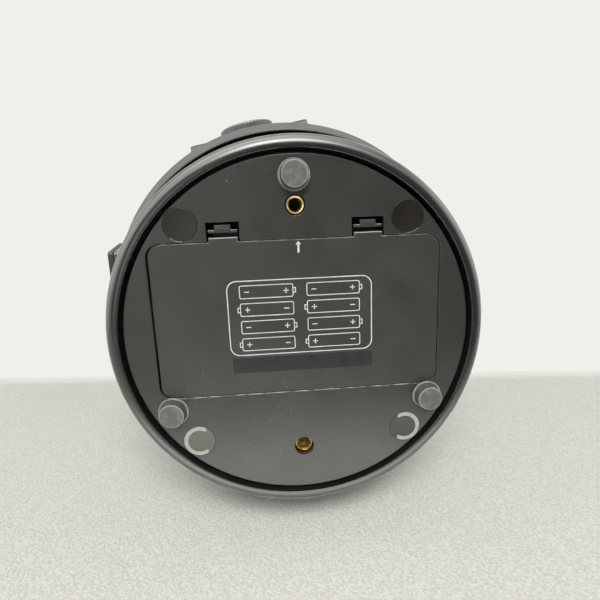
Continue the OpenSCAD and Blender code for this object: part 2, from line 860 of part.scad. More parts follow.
module turntable() {
    color("#2d2e31") difference() {
        union() {
            rotate_extrude($fn = 180) {
                polygon([[shaft_r + fit, hub_z], [hub_r, hub_z], [hub_r, table_under],
                    [skirt_r - wall - edge_r / 2, table_under], [skirt_low_r - skirt_lip, skirt_z],
                    [skirt_low_r, skirt_z],
                    [skirt_r, table_top - edge_r], [skirt_r - edge_r, table_top],
                    [shaft_r + fit, table_top]]);
                translate([skirt_r - edge_r, table_top - edge_r]) circle(edge_r);
            }
            on_fork() translate([lever_x, 0, 0])
                rod_z(lever_pin_r, table_under, table_top + lever_h + 1.5);
        }
        on_fork() for (s = [-1, 1], t = [-1, 1]) translate([s * arm_screw_x, t * arm_screw_y, 0])
            rod_z(arm_screw_r + fit, table_under - eps, table_top + eps);
    }
}

module azimuth_shaft() {
    bore = shaft_r - 4;
    color("#a7abb0") difference() {
        rod_z(shaft_r, shaft_low, table_top);
        rod_z(bore, shaft_low - eps, table_top - wall);
    }
}

module shaft_nut() {
    color("#8f9398") difference() {
        translate([0, 0, shaft_low]) cylinder(r = nut_r, h = nut_h, $fn = 6);
        rod_z(shaft_r + fit, shaft_low - eps, shaft_low + nut_h + eps);
    }
}

// Outline of an arm in X and Z: a tapered upright with a round top
module arm_outline(inset, lift) {
    half = arm_w / 2 - inset;
    low = table_top + lift;
    r = arm_top_r - inset;
    touch = arm_touch(half, low, r);
    polygon([[-half, low], [half, low], touch, [-touch[0], touch[1]]]);
    translate([0, axis_h]) circle(r, $fn = 64);
}

module fork_arm(boss) {
    difference() {
        union() {
            slab(cover_y, arm_out) arm_outline(0, 0);
            if (boss) translate([0, 0, axis_h]) rod_y(knob_boss_r, arm_out - eps, arm_out + knob_boss);
        }
        panel_slab(-arm_w, arm_w) polygon([[arm_out - 1.2 * arm_slope, table_top - 0.2 * arm_foot],
            [arm_out + 0.2 * arm_slope, table_top - 0.2 * arm_foot],
            [arm_out + 0.2 * arm_slope, table_top + 1.2 * arm_foot]]);
        slab(cover_y - eps, arm_out - wall) arm_outline(wall, cavity_lift);
        translate([0, 0, axis_h]) rod_y(bearing_r + fit, arm_out - wall - eps, arm_out + knob_boss + eps);
        for (s = [-1, 1]) translate([s * arm_screw_x, arm_screw_y, 0])
            rod_z(arm_screw_r + fit, table_top - eps, table_top + arm_screw_len + 1);
    }
}

module right_fork_arm() { color("#2d2e31") on_fork() fork_arm(true); }

module left_fork_arm() { color("#2d2e31") on_fork() mirror([0, 1, 0]) fork_arm(false); }

module both_sides() { for (s = [0, 1]) mirror([0, s, 0]) children(); }

module arm_covers() {
    color("#303134") on_fork() both_sides() difference() {
        slab(arm_in, cover_y) arm_outline(0, 0);
        translate([0, 0, axis_h]) rod_y(bearing_r + fit, arm_in - eps, cover_y + eps);
    }
}

module arm_screws() {
    color("#8d9094") on_fork() for (s = [-1, 1], t = [-1, 1])
        translate([s * arm_screw_x, t * arm_screw_y, 0]) {
        rod_z(arm_screw_r, table_under - eps, table_top + arm_screw_len);
        rod_z(head_r + 1, table_under - head_h, table_under);
    }
}

module altitude_bushings() {
    color("#c9b48a") on_fork() both_sides() translate([0, 0, axis_h])
        for (y = [[arm_in, cover_y], [arm_out - wall, arm_out]])
        difference() {
            rod_y(bearing_r, y[0], y[1]);
            rod_y(trunnion_r + fit, y[0] - eps, y[1] + eps);
        }
}

module altitude_wheel() {
    color("#d8d2c2") on_fork() translate([0, 0, axis_h])
        slab(arm_wheel_y, arm_wheel_y + arm_wheel_t) difference() {
        toothed(arm_wheel_r, arm_teeth, tooth_h);
        circle(trunnion_r + gap);
    }
}

module altitude_worm() {
    color("#b9bcc0") on_fork() translate([0, arm_worm_y, arm_worm_z]) {
        rod_x(arm_worm_r, -arm_worm_x + 2, -2);
        rod_x(worm_axis_r, -arm_worm_x - 2, arm_motor_x);
    }
}

module altitude_motor() {
    back = arm_out - wall;
    color("#6f7276") on_fork() difference() {
        union() {
            translate([0, arm_worm_y, arm_worm_z]) rod_x(arm_motor_r, arm_motor_x,
                arm_motor_x + arm_motor_len);
            block(arm_motor_x + 1, arm_motor_x + arm_motor_len - 2, arm_worm_y, back, arm_worm_z - 5,
                arm_worm_z + 4);
            block(-arm_worm_x - 3, -arm_worm_x + 1, arm_worm_y - 4, back, arm_worm_z - 5, arm_worm_z + 4);
        }
        translate([0, arm_worm_y, arm_worm_z]) rod_x(worm_axis_r + fit, -arm_worm_x - 4,
            arm_motor_x - eps);
    }
}

module azimuth_lock_lever() {
    low = table_top + gap;
    high = table_top + lever_h;
    tip_r = 5;
    color("#1f2022") on_fork() translate([lever_x, 0, 0]) difference() {
        union() {
            rod_z(lever_r, low, high);
            block(0, lever_len - tip_r, -tip_r, tip_r, low, high);
            translate([lever_len - tip_r, 0, 0]) rod_z(tip_r, low, high + 3);
        }
        rod_z(lever_pin_r + fit, low - eps, high + eps);
    }
}

module altitude_lock_knob() {
    color("#232427") on_fork() translate([0, knob_y, axis_h]) rotate([-90, 0, 0]) difference() {
        rotate_extrude() polygon([[stud_r + fit, 0], [knob_d / 2, 0], [knob_d / 2, knob_len - 1.6],
            [knob_d / 2 - 1.6, knob_len], [0, knob_len], [0, knob_len - wall],
            [stud_r + fit, knob_len - wall]]);
        flutes(knob_d / 2, 72, 0.55, knob_len);
    }
}

// One side of the tube's pivot: a pad that fits the tube, and its trunnion out to the given end
module adapter(end, stud) {
    difference() {
        union() {
            slab(tube_r - 14, adapter_y) translate([0, axis_h]) circle(adapter_r);
            translate([0, 0, axis_h]) {
                rod_y(trunnion_r, adapter_y - eps, end);
                rod_y(stud_r, end - eps, end + stud);
            }
        }
        rod_z(tube_r + fit, axis_h - 2 * adapter_r, axis_h + 2 * adapter_r);
        at_adapter_screws() {
            rod_y(head_r + seat, adapter_y - head_h - 0.4, adapter_y + eps);
            rod_y(screw_r + fit, tube_r - 15, adapter_y);
        }
    }
}

module at_adapter_screws() {
    for (x = [-1, 1], z = [-1, 1])
        translate([x * adapter_screw, 0, axis_h + z * adapter_screw]) children();
}

module tube_adapters() {
    color("#2a2b2e") on_fork() {
        adapter(arm_out, knob_boss + knob_len - wall - 1);
        mirror([0, 1, 0]) adapter(arm_out, gap + dial_t - 0.4);
    }
}

module adapter_screws() {
    head_y = adapter_y - 0.4;
    color("#8d9094") on_fork() both_sides() at_adapter_screws() {
        rod_y(head_r, head_y - head_h, head_y);
        rod_y(screw_r, adapter_tip, head_y - eps);
    }
}

module main_tube() {
    color("#2b2f6b") on_fork() difference() {
        rod_z(tube_r, rear_top, front_low);
        rod_z(tube_in, rear_top - eps, front_low + eps);
        both_sides() at_adapter_screws() rod_y(screw_r + fit, tube_in / 2, tube_r);
    }
}

// Places a shape on the focus screw's axis
module at_focus() { rotate([0, 0, focus_dir]) translate([focus_r, 0, 0]) children(); }

module rear_cell() {
    color("#28292c") on_fork() difference() {
        union() {
            rotate_extrude() polygon([
                [photo_r + fit, tube_back], [cell_r - 3, tube_back], [cell_r, tube_back + 3],
                [cell_r, rear_top],
                [spigot_r, rear_top], [spigot_r, rear_top + spigot], [spigot_r - wall, rear_top + spigot],
                [spigot_r - wall, bulkhead_top], [baffle_r - baffle_t, bulkhead_top],
                [baffle_r - baffle_t, rear_top],
                [cell_r - cell_wall, rear_top], [cell_r - cell_wall, tube_back + wall],
                [photo_r + fit, tube_back + wall]
            ]);
            block(-flip_x - 4, -flip_x + 4, flip_post_y, flip_post_y + 4, flip_z - 4, rear_top + eps);
        }
        translate([0, 0, port_z]) rod_x(port_out + fit, cell_r / 2, cell_r + eps);
        at_focus() rod_z(focus_screw_r + fit, tube_back - eps, bulkhead_top + eps);
        translate([-flip_x, 0, flip_z]) rod_y(flip_pin_r + fit, -cell_r, flip_post_y + 5);
    }
}

module front_cell() {
    open_r = lens_r + 2;
    color("#28292c") on_fork() {
        rotate_extrude() polygon([
            [lens_seat_r, front_low - spigot], [spigot_r, front_low - spigot], [spigot_r, front_low],
            [cell_r, front_low], [cell_r, tube_front - 1.5], [cell_r - 1.5, tube_front],
            [open_r, tube_front],
            [open_r, lens_front + ring_t], [lens_r + fit, lens_front + ring_t], [lens_r + fit, lens_seat],
            [lens_seat_r, lens_seat]
        ]);
        rotate_extrude() translate([lens_seat_r, lens_front + seat])
            square([lens_r - lens_seat_r, ring_t - seat]);
    }
}

// A shell of a sphere around the lens centre, from r0 to r1, cut to a width
module cap_profile(r0, r1, half) {
    intersection() {
        translate([0, lens_centre]) difference() {
            circle(r1, $fn = 360);
            circle(r0, $fn = 360);
        }
        translate([0, spot_z - 2]) square([half, lens_front - spot_z + 2]);
    }
}

module corrector_lens() {
    color([0.8, 0.85, 0.88, 0.4]) on_fork() rotate_extrude() cap_profile(lens_curve, lens_back_r, lens_r);
}

module secondary_mirror() {
    color("#d9dde0") on_fork() rotate_extrude() cap_profile(lens_back_r + 0.02, lens_back_r + spot_t,
        spot_r);
}

module secondary_baffle() {
    color("#151517") on_fork() rotate_extrude() polygon([[hood_r, hood_top], [hood_r + hood_t, hood_top],
        [hood_r + hood_t + 1.5, hood_top - hood_len], [hood_r + 1.5, hood_top - hood_len]]);
}

module primary_baffle() {
    color("#151517") on_fork() rotate_extrude() polygon([
        [baffle_r - baffle_t, bulkhead_top], [baffle_flange_r, bulkhead_top],
        [baffle_flange_r, bulkhead_top + baffle_flange_t],
        [baffle_r, bulkhead_top + baffle_flange_t], [baffle_r, bulkhead_top + baffle_len],
        [baffle_r - baffle_t, bulkhead_top + baffle_len]
    ]);
}

module primary_mirror() {
    color("#d9dde0") on_fork() rotate_extrude() difference() {
        translate([mirror_bore, mirror_z]) square([mirror_d / 2 - mirror_bore, mirror_t]);
        translate([0, mirror_z + mirror_t - 2 + mirror_curve]) circle(mirror_curve, $fn = 720);
    }
}

module mirror_carriage() {
    color("#7d8085") on_fork() difference() {
        union() {
            rotate_extrude() polygon([
                [baffle_r + fit, carriage_z - 6], [mirror_bore - fit, carriage_z - 6],
                [mirror_bore - fit, carriage_z],
                [carriage_r, carriage_z], [carriage_r, carriage_z + carriage_t],
                [mirror_bore - fit, carriage_z + carriage_t],
                [mirror_bore - fit, carriage_z - 6 + carriage_len],
                [baffle_r + fit, carriage_z - 6 + carriage_len]
            ]);
            rotate([0, 0, focus_dir]) block(mirror_bore, focus_r, -focus_nut_r, focus_nut_r,
                carriage_z, carriage_z + carriage_t);
            at_focus() rod_z(focus_nut_r, carriage_z - focus_nut_len, carriage_z + carriage_t);
        }
        at_focus() rod_z(focus_screw_r + fit, carriage_z - focus_nut_len - eps, carriage_z);
    }
}

module focus_knob() {
    color("#232427") on_fork() at_focus() {
        rod_z(focus_screw_r, tube_back - 2 * gap - eps, focus_end);
        translate([0, 0, focus_low]) difference() {
            rotate_extrude() polygon([[0, 0], [focus_d / 2 - 1, 0], [focus_d / 2, 1],
                [focus_d / 2, tube_back - gap - focus_low],
                [0, tube_back - gap - focus_low]]);
            flutes(focus_d / 2, 24, 0.7, tube_back - focus_low);
        }
    }
}

module flip_mirror() {
    color("#d9dde0") on_fork() translate([-flip_x, 0, flip_z]) rotate([0, 45, 0])
        block(flip_pin_r + 1, flip_len + flip_pin_r, -flip_w / 2, flip_w / 2, -flip_t / 2, flip_t / 2);
}

module flip_knob() {
    inner = -flip_wall_y - gap;
    color("#232427") on_fork() translate([-flip_x, 0, flip_z]) {
        rod_y(flip_pin_r, inner - eps, flip_post_y + 4);
        rotate([0, 45, 0]) for (y = [-flip_w / 2 - 3.4, flip_w / 2 + 0.2])
            block(-flip_pin_r - 1, 9, y, y + 2.4, -3, 3);
        translate([0, inner - flip_knob_t, 0]) rotate([-90, 0, 0]) difference() {
            rod_z(flip_knob_r, 0, flip_knob_t);
            flutes(flip_knob_r, 20, 0.7, flip_knob_t);
        }
    }
}

module eyepiece_holder() {
    color("#2a2b2e") on_fork() difference() {
        union() {
            translate([0, 0, port_z]) rod_x(port_out, port_in_x, port_end);
            difference() {
                translate([0, 0, port_z]) rod_x(port_out + port_flange, port_in_x, cell_r + 3);
                rod_z(cell_r + fit, tube_back - eps, rear_top + eps);
            }
        }
        translate([0, 0, port_z]) rod_x(port_r, port_in_x - eps, port_end + eps);
        translate([thumb_x, 0, 0]) rod_z(screw_r + fit, port_z, port_z + port_out + eps);
    }
}

module eyepiece() {
    body = port_end + gap;
    end = port_end + eyepiece_len;
    bore = 9;
    color("#202124") on_fork() translate([0, 0, port_z]) rotate([0, 90, 0]) rotate_extrude() polygon([
        [barrel_r - 2, barrel_in], [barrel_r, barrel_in], [barrel_r, body], [eyepiece_d / 2, body],
        [eyepiece_d / 2, end - cup_len], [eyepiece_d / 2 - 1.5, end - cup_len + 1],
        [eyepiece_d / 2 - 3, end],
        [bore + 2, end], [bore, end - cup_len], [0, end - cup_len], [0, body], [barrel_r - 2, body]
    ]);
}

module eyepiece_screw() {
    low = port_z + port_out + gap;
    color("#8d9094") on_fork() translate([thumb_x, 0, 0]) {
        rod_z(screw_r, port_z + port_r + fit, low + eps);
        translate([0, 0, low]) difference() {
            rod_z(thumb_r, 0, 8);
            flutes(thumb_r, 16, 0.6, 8);
        }
    }
}

module photo_port() {
    color("#2a2b2e") on_fork() difference() {
        union() {
            rod_z(photo_r, tube_back - photo_len, tube_back + wall);
            rod_z(photo_r + 2, tube_back + wall, tube_back + wall + 2);
        }
        rod_z(photo_r - photo_thread, tube_back - photo_len - eps, tube_back + wall + 2 + eps);
    }
}

module photo_port_cap() {
    low = tube_back - photo_len - gap - cap_t;
    color("#1d1e20") on_fork() translate([0, 0, low]) difference() {
        rod_z(cap_d / 2, 0, cap_len);
        rod_z(photo_r + fit, cap_t, cap_len + eps);
        flutes(cap_d / 2, 40, 0.6, cap_len);
    }
}

module at_finder() { rotate([0, 0, -finder_angle]) translate([finder_r, 0, 0]) children(); }

module finder_bracket() {
    reach = finder_r - ring_r - ring_wall / 2;
    color("#2a2b2e") on_fork() difference() {
        union() {
            rotate([0, 0, -finder_angle]) {
                block(cell_r - bracket_sink, cell_r + bracket_pad, -bracket_w / 2, bracket_w / 2,
                    bracket_low, bracket_top);
                for (z = ring_zs) block(cell_r - bracket_sink / 2, reach, -web_half, web_half, z,
                    z + ring_h);
            }
            at_finder() for (z = ring_zs) rod_z(ring_r + ring_wall, z, z + ring_h);
        }
        rod_z(cell_r + fit, tube_back, rear_top + spigot);
        at_finder() {
            rod_z(ring_r, bracket_low, bracket_top + ring_h);
            at_finder_screws() rod_x(screw_r + fit, finder_tube_r, ring_r + 2 * ring_wall);
        }
    }
}

module at_finder_screws() {
    for (z = ring_zs, a = [0, 120, 240]) rotate([0, 0, a]) translate([0, 0, z + ring_h / 2]) children();
}

module finder_tube() {
    in_r = finder_tube_r - finder_wall;
    bell_in = bell_r - finder_wall;
    eye_r = finder_tube_r + eye_step;
    color("#232427") on_fork() at_finder() rotate_extrude() polygon([
        [in_r - eye_lip, finder_z], [eye_r, finder_z], [eye_r, finder_z + eye_len],
        [finder_tube_r, finder_z + eye_len + eye_step], [finder_tube_r, finder_top - bell_len],
        [bell_r, finder_top - bell_len + bell_taper], [bell_r, finder_top], [bell_in, finder_top],
        [bell_in, finder_top - bell_len + bell_taper + finder_wall / 2],
        [in_r, finder_top - bell_len + finder_wall / 2],
        [in_r, finder_z + eye_lip_t], [in_r - eye_lip, finder_z + eye_lip_t]
    ]);
}

module finder_lenses() {
    color([0.8, 0.85, 0.88, 0.4]) on_fork() at_finder() {
        rod_z(bell_r - finder_wall - fit, finder_top - finder_glass_in - finder_glass_t,
            finder_top - finder_glass_in);
        rod_z(finder_tube_r - finder_wall - fit, finder_z + eye_lip_t,
            finder_z + eye_lip_t + eye_glass_t);
    }
}

module finder_screws() {
    color("#8d9094") on_fork() at_finder() at_finder_screws() {
        rod_x(screw_r, finder_tube_r + fit, ring_r + ring_wall + finder_head_gap + eps);
        rod_x(head_r, ring_r + ring_wall + finder_head_gap, ring_r + ring_wall + finder_head_gap +
            finder_head_t);
    }
}

module declination_circle() {
    color("#b9bbb8") on_fork() mirror([0, 1, 0]) translate([0, 0, axis_h]) difference() {
        rod_y(dial_d / 2, arm_out + gap, arm_out + gap + dial_t);
        rod_y(stud_r + fit, arm_out, arm_out + gap + dial_t + eps);
    }
}

base_shell();
bottom_plate();
rubber_feet();
tripod_inserts();
screw_plugs();
plate_screws();
battery_tray();
batteries();
battery_contacts();
battery_cover();
control_panel();
data_sockets();
power_jack();
power_light();
power_switch();
panel_screws();
circuit_board();
azimuth_bushing();
azimuth_wheel();
azimuth_worm();
azimuth_motor();
azimuth_circle();
turntable();
azimuth_shaft();
shaft_nut();
right_fork_arm();
left_fork_arm();
arm_covers();
arm_screws();
altitude_bushings();
altitude_wheel();
altitude_worm();
altitude_motor();
azimuth_lock_lever();
altitude_lock_knob();
tube_adapters();
adapter_screws();
main_tube();
rear_cell();
front_cell();
corrector_lens();
secondary_mirror();
secondary_baffle();
primary_baffle();
primary_mirror();
mirror_carriage();
focus_knob();
flip_mirror();
flip_knob();
eyepiece_holder();
eyepiece();
eyepiece_screw();
photo_port();
photo_port_cap();
finder_bracket();
finder_tube();
finder_lenses();
finder_screws();
declination_circle();
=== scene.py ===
"""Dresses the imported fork-mounted telescope: finishes, fine pieces, prints, stage, light and camera.

Everything is in the part's own frame, in metres: Z runs up the azimuth axis from the plane of the feet,
+X points to the control panel and +Y to the upper tripod insert. Sizes in the classes are in millimetres.
"""

import logging
import math
from dataclasses import dataclass
from enum import Enum
from typing import Iterable, Sequence

import bmesh
import bpy
from mathutils import Matrix, Vector
from mathutils.geometry import delaunay_2d_cdt


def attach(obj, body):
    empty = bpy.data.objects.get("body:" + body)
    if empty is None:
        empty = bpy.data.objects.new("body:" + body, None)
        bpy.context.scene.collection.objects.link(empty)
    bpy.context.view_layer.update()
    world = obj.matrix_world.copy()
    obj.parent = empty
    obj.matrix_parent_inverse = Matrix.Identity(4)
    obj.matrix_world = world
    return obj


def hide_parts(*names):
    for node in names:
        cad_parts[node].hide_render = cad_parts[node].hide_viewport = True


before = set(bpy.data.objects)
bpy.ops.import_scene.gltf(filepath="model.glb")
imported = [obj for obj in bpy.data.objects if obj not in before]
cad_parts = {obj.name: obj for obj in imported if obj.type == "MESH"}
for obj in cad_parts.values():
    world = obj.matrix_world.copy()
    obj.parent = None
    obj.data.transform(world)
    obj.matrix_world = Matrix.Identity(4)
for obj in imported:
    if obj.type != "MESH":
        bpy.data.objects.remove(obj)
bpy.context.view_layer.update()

# One millimetre in metres, and lengths that count as nothing: TINY in millimetres, WELD in metres
MM = 0.001
TINY = 1e-5
WELD = 2e-6
EDGE_STEPS = 3
FORK_TURN = math.radians(-11.5)
DUST_TONE = (0.55, 0.55, 0.52, 1.0)
Point = tuple[float, float]
Corner = tuple[float, float, float]
Colour = tuple[float, float, float]
Loop = list[Point]
# Puts a shape's own X, Y and Z along the part's Y, Z and X
FACING_X = Matrix(((0, 0, 1, 0), (1, 0, 0, 0), (0, 1, 0, 0), (0, 0, 0, 1)))
log = logging.getLogger("telescope")


# Finishes


class Coat(Enum):
    """The kinds of surface that the finishes share."""

    SATIN = "satin"
    GLOSS = "gloss"
    FLAT = "flat"


class Tree:
    """Short calls for building one material's nodes."""

    def __init__(self, name: str) -> None:
        """Starts an empty material with an output and a principled shader.

        Args:
            name: The material's name.
        """
        self.material = bpy.data.materials.new(name)
        self.material.use_nodes = True
        self.nodes = self.material.node_tree.nodes
        self.links = self.material.node_tree.links
        self.nodes.clear()
        self.out = self.nodes.new("ShaderNodeOutputMaterial")
        self.shader = self.nodes.new("ShaderNodeBsdfPrincipled")
        self.join(self.shader.outputs[0], self.out.inputs[0])
        self.place = self.nodes.new("ShaderNodeTexCoord").outputs["Object"]

    def join(self, start: bpy.types.NodeSocket, end: bpy.types.NodeSocket) -> None:
        """Links two sockets."""
        self.links.new(start, end)

    def put(self, socket: bpy.types.NodeSocket, value: object) -> None:
        """Links a socket to another one, or sets it to a plain value.

        Args:
            socket: The input to feed.
            value: A socket, number or colour.
        """
        if isinstance(value, bpy.types.NodeSocket):
            self.join(value, socket)
        else:
            socket.default_value = value

    def stretched(self, scale: Sequence[float], turn: Sequence[float] = (0, 0, 0)) -> bpy.types.NodeSocket:
        """Object coordinates scaled along each axis.

        Args:
            scale: Factor for each axis.
            turn: Rotation in radians.

        Returns:
            The vector socket.
        """
        node = self.nodes.new("ShaderNodeMapping")
        node.inputs["Scale"].default_value = scale
        node.inputs["Rotation"].default_value = turn
        self.join(self.place, node.inputs["Vector"])
        return node.outputs[0]

    def noise(self, scale: float, detail: float,
              at: bpy.types.NodeSocket | None = None) -> bpy.types.NodeSocket:
        """Noise over the surface.

        Args:
            scale: Features per metre, roughly.
            detail: Octaves.
            at: Coordinates, or None for the object's own.

        Returns:
            The factor socket.
        """
        node = self.nodes.new("ShaderNodeTexNoise")
        node.inputs["Scale"].default_value = scale
        node.inputs["Detail"].default_value = detail
        self.join(at or self.place, node.inputs["Vector"])
        return node.outputs[0]

    def cells(self, scale: float) -> bpy.types.NodeSocket:
        """Distance to the nearest of many scattered points.

        Args:
            scale: Points per metre along one axis.

        Returns:
            The distance socket.
        """
        node = self.nodes.new("ShaderNodeTexVoronoi")
        node.inputs["Scale"].default_value = scale
        self.join(self.place, node.inputs["Vector"])
        return node.outputs["Distance"]

    def span(self, value: bpy.types.NodeSocket, low: float, high: float, to_low: float = 0.0,
             to_high: float = 1.0) -> bpy.types.NodeSocket:
        """Maps a range of values to another, clamped.

        Args:
            value: The socket to read.
            low: Value that becomes to_low.
            high: Value that becomes to_high.
            to_low: First result.
            to_high: Last result.

        Returns:
            The mapped socket.
        """
        node = self.nodes.new("ShaderNodeMapRange")
        node.inputs["From Min"].default_value = low
        node.inputs["From Max"].default_value = high
        node.inputs["To Min"].default_value = to_low
        node.inputs["To Max"].default_value = to_high
        self.join(value, node.inputs["Value"])
        return node.outputs[0]

    def math(self, kind: str, a: object, b: object = 0.0) -> bpy.types.NodeSocket:
        """One math node.

        Args:
            kind: The operation's name.
            a: First socket or number.
            b: Second socket or number.

        Returns:
            The result socket.
        """
        node = self.nodes.new("ShaderNodeMath")
        node.operation = kind
        self.put(node.inputs[0], a)
        self.put(node.inputs[1], b)
        return node.outputs[0]

    def mix(self, factor: object, a: object, b: object) -> bpy.types.NodeSocket:
        """Mixes two colours.

        Args:
            factor: Share of the second colour.
            a: First colour or socket.
            b: Second colour or socket.

        Returns:
            The colour socket.
        """
        node = self.nodes.new("ShaderNodeMix")
        node.data_type = "RGBA"
        self.put(node.inputs["Factor"], factor)
        self.put(node.inputs[6], a)
        self.put(node.inputs[7], b)
        return node.outputs[2]

    def bump(self, height: bpy.types.NodeSocket, depth_mm: float) -> None:
        """Feeds the shader's normal with a bump.

        Args:
            height: Height factor.
            depth_mm: Height of a full step, in millimetres.
        """
        node = self.nodes.new("ShaderNodeBump")
        node.inputs["Distance"].default_value = depth_mm * MM
        self.join(height, node.inputs["Height"])
        self.join(node.outputs[0], self.shader.inputs["Normal"])


def rgba(colour: Sequence[float]) -> tuple[float, float, float, float]:
    """A colour with full opacity."""
    return (colour[0], colour[1], colour[2], 1.0)


def lifted(colour: Sequence[float], by: float) -> tuple[float, float, float, float]:
    """A colour moved towards white by a share."""
    return rgba([c + (1 - c) * by for c in colour])


@dataclass(frozen=True)
class MouldedPlastic:
    """Moulded plastic: fine grain, faint mottling, dust specks and hairline scratches."""

    name: str
    colour: Colour
    rough: float = 0.45
    grain_mm: float = 0.35
    grain_depth: float = 0.012
    mottle: float = 0.25
    dust: float = 0.0
    scratches: float = 0.0
    coat: Coat = Coat.SATIN

    def make(self) -> bpy.types.Material:
        """Builds the material.

        Returns:
            The new material.
        """
        t = Tree(self.name)
        patch = t.noise(28, 4)
        base = t.mix(t.span(patch, 0.35, 0.7, 0, self.mottle), rgba(self.colour), lifted(self.colour, 0.03))
        shine = t.span(t.noise(60, 5), 0.3, 0.7, self.rough - 0.05, self.rough + 0.06)
        if self.scratches:
            line = t.noise(16, 2, t.stretched((1, 30, 1), (0, 0, 0.5)))
            other = t.noise(14, 2, t.stretched((30, 1, 1), (0, 0, -0.35)))
            fine = t.math("MAXIMUM", t.span(line, 0.735, 0.75), t.span(other, 0.74, 0.755))
            base = t.mix(t.math("MULTIPLY", fine, self.scratches), base, lifted(self.colour, 0.12))
        if self.dust:
            big = t.math("MULTIPLY", t.span(t.cells(130), 0.036, 0.02), t.span(t.noise(18, 2), 0.5, 0.62))
            small = t.math("MULTIPLY", t.span(t.cells(420), 0.09, 0.06), t.span(t.noise(11, 3), 0.46, 0.66))
            specks = t.math("MULTIPLY", t.math("MAXIMUM", big, t.math("MULTIPLY", small, 0.6)), self.dust)
            base = t.mix(specks, base, DUST_TONE)
            shine = t.math("MAXIMUM", shine, t.math("MULTIPLY", specks, 0.9))
        t.put(t.shader.inputs["Base Color"], base)
        t.put(t.shader.inputs["Roughness"], shine)
        if self.coat is Coat.GLOSS:
            t.shader.inputs["Coat Weight"].default_value = 0.9
            t.shader.inputs["Coat Roughness"].default_value = 0.2
        if self.coat is Coat.FLAT:
            t.shader.inputs["Specular IOR Level"].default_value = 0.2
        t.bump(t.noise(1000 / self.grain_mm, 3), self.grain_depth)
        return t.material


@dataclass(frozen=True)
class Rubber:
    """Soft rubber with a fine skin, and pale dust rubbed into it."""

    name: str
    colour: Colour
    dust: float = 0.3

    def make(self) -> bpy.types.Material:
        """Builds the material.

        Returns:
            The new material.
        """
        t = Tree(self.name)
        rub = t.math("MULTIPLY", t.span(t.noise(320, 5), 0.45, 0.75), self.dust)
        t.put(t.shader.inputs["Base Color"], t.mix(rub, rgba(self.colour), lifted(self.colour, 0.22)))
        t.put(t.shader.inputs["Roughness"], t.span(t.noise(90, 4), 0.3, 0.7, 0.62, 0.8))
        t.shader.inputs["Specular IOR Level"].default_value = 0.35
        t.bump(t.noise(2600, 3), 0.02)
        return t.material


@dataclass(frozen=True)
class Metal:
    """Bare metal with fine turning or brushing marks."""

    name: str
    colour: Colour
    rough: float = 0.28
    brush: tuple[float, float, float] = (1, 1, 40)
    tarnish: float = 0.25

    def make(self) -> bpy.types.Material:
        """Builds the material.

        Returns:
            The new material.
        """
        t = Tree(self.name)
        mark = t.noise(160, 3, t.stretched(self.brush))
        stain = t.math("MULTIPLY", t.span(t.noise(240, 4), 0.45, 0.75), self.tarnish)
        dark = rgba([c * 0.55 for c in self.colour])
        t.put(t.shader.inputs["Base Color"], t.mix(stain, rgba(self.colour), dark))
        t.put(t.shader.inputs["Roughness"], t.span(mark, 0.3, 0.7, self.rough - 0.06, self.rough + 0.1))
        t.shader.inputs["Metallic"].default_value = 1.0
        t.bump(mark, 0.008)
        return t.material


@dataclass(frozen=True)
class Paint:
    """Painted or anodised metal: a thin coloured film over a fine texture."""

    name: str
    colour: Colour
    rough: float = 0.35
    metallic: float = 0.0
    texture_mm: float = 0.25
    depth: float = 0.01
    coat: float = 0.0

    def make(self) -> bpy.types.Material:
        """Builds the material.

        Returns:
            The new material.
        """
        t = Tree(self.name)
        cloud = t.span(t.noise(22, 4), 0.35, 0.7, 0, 0.5)
        t.put(t.shader.inputs["Base Color"], t.mix(cloud, rgba(self.colour), lifted(self.colour, 0.02)))
        shine = t.span(t.noise(50, 4), 0.3, 0.7, self.rough - 0.04, self.rough + 0.05)
        t.put(t.shader.inputs["Roughness"], shine)
        t.shader.inputs["Metallic"].default_value = self.metallic
        if self.coat:
            t.shader.inputs["Coat Weight"].default_value = self.coat
            t.shader.inputs["Coat Roughness"].default_value = 0.1
        t.bump(t.noise(1000 / self.texture_mm, 2), self.depth)
        return t.material


@dataclass(frozen=True)
class Ink:
    """Ink, or a pale painted highlight, worn through in patches to the colour under it."""

    name: str
    colour: Colour
    under: Colour
    wear: float = 0.3
    patch: float = 900
    worn: tuple[float, float] = (0.58, 0.72)

    def make(self) -> bpy.types.Material:
        """Builds the material.

        Returns:
            The new material.
        """
        t = Tree(self.name)
        worn = t.math("MULTIPLY", t.span(t.noise(self.patch, 4), *self.worn), self.wear)
        t.put(t.shader.inputs["Base Color"], t.mix(worn, rgba(self.colour), rgba(self.under)))
        t.put(t.shader.inputs["Roughness"], t.span(t.noise(300, 3), 0.3, 0.7, 0.4, 0.55))
        return t.material


@dataclass(frozen=True)
class Glass:
    """Coated optical glass, clear with a faint violet bloom."""

    name: str
    colour: Colour = (0.94, 0.96, 0.97)
    bloom: Colour = (0.55, 0.62, 1.0)

    def make(self) -> bpy.types.Material:
        """Builds the material.

        Returns:
            The new material.
        """
        t = Tree(self.name)
        haze = t.span(t.noise(60, 4), 0.4, 0.75, 0.0, 0.03)
        t.put(t.shader.inputs["Roughness"], haze)
        t.shader.inputs["Base Color"].default_value = rgba(self.colour)
        t.shader.inputs["Transmission Weight"].default_value = 1.0
        t.shader.inputs["IOR"].default_value = 1.5
        t.shader.inputs["Specular Tint"].default_value = rgba(self.bloom)
        return t.material


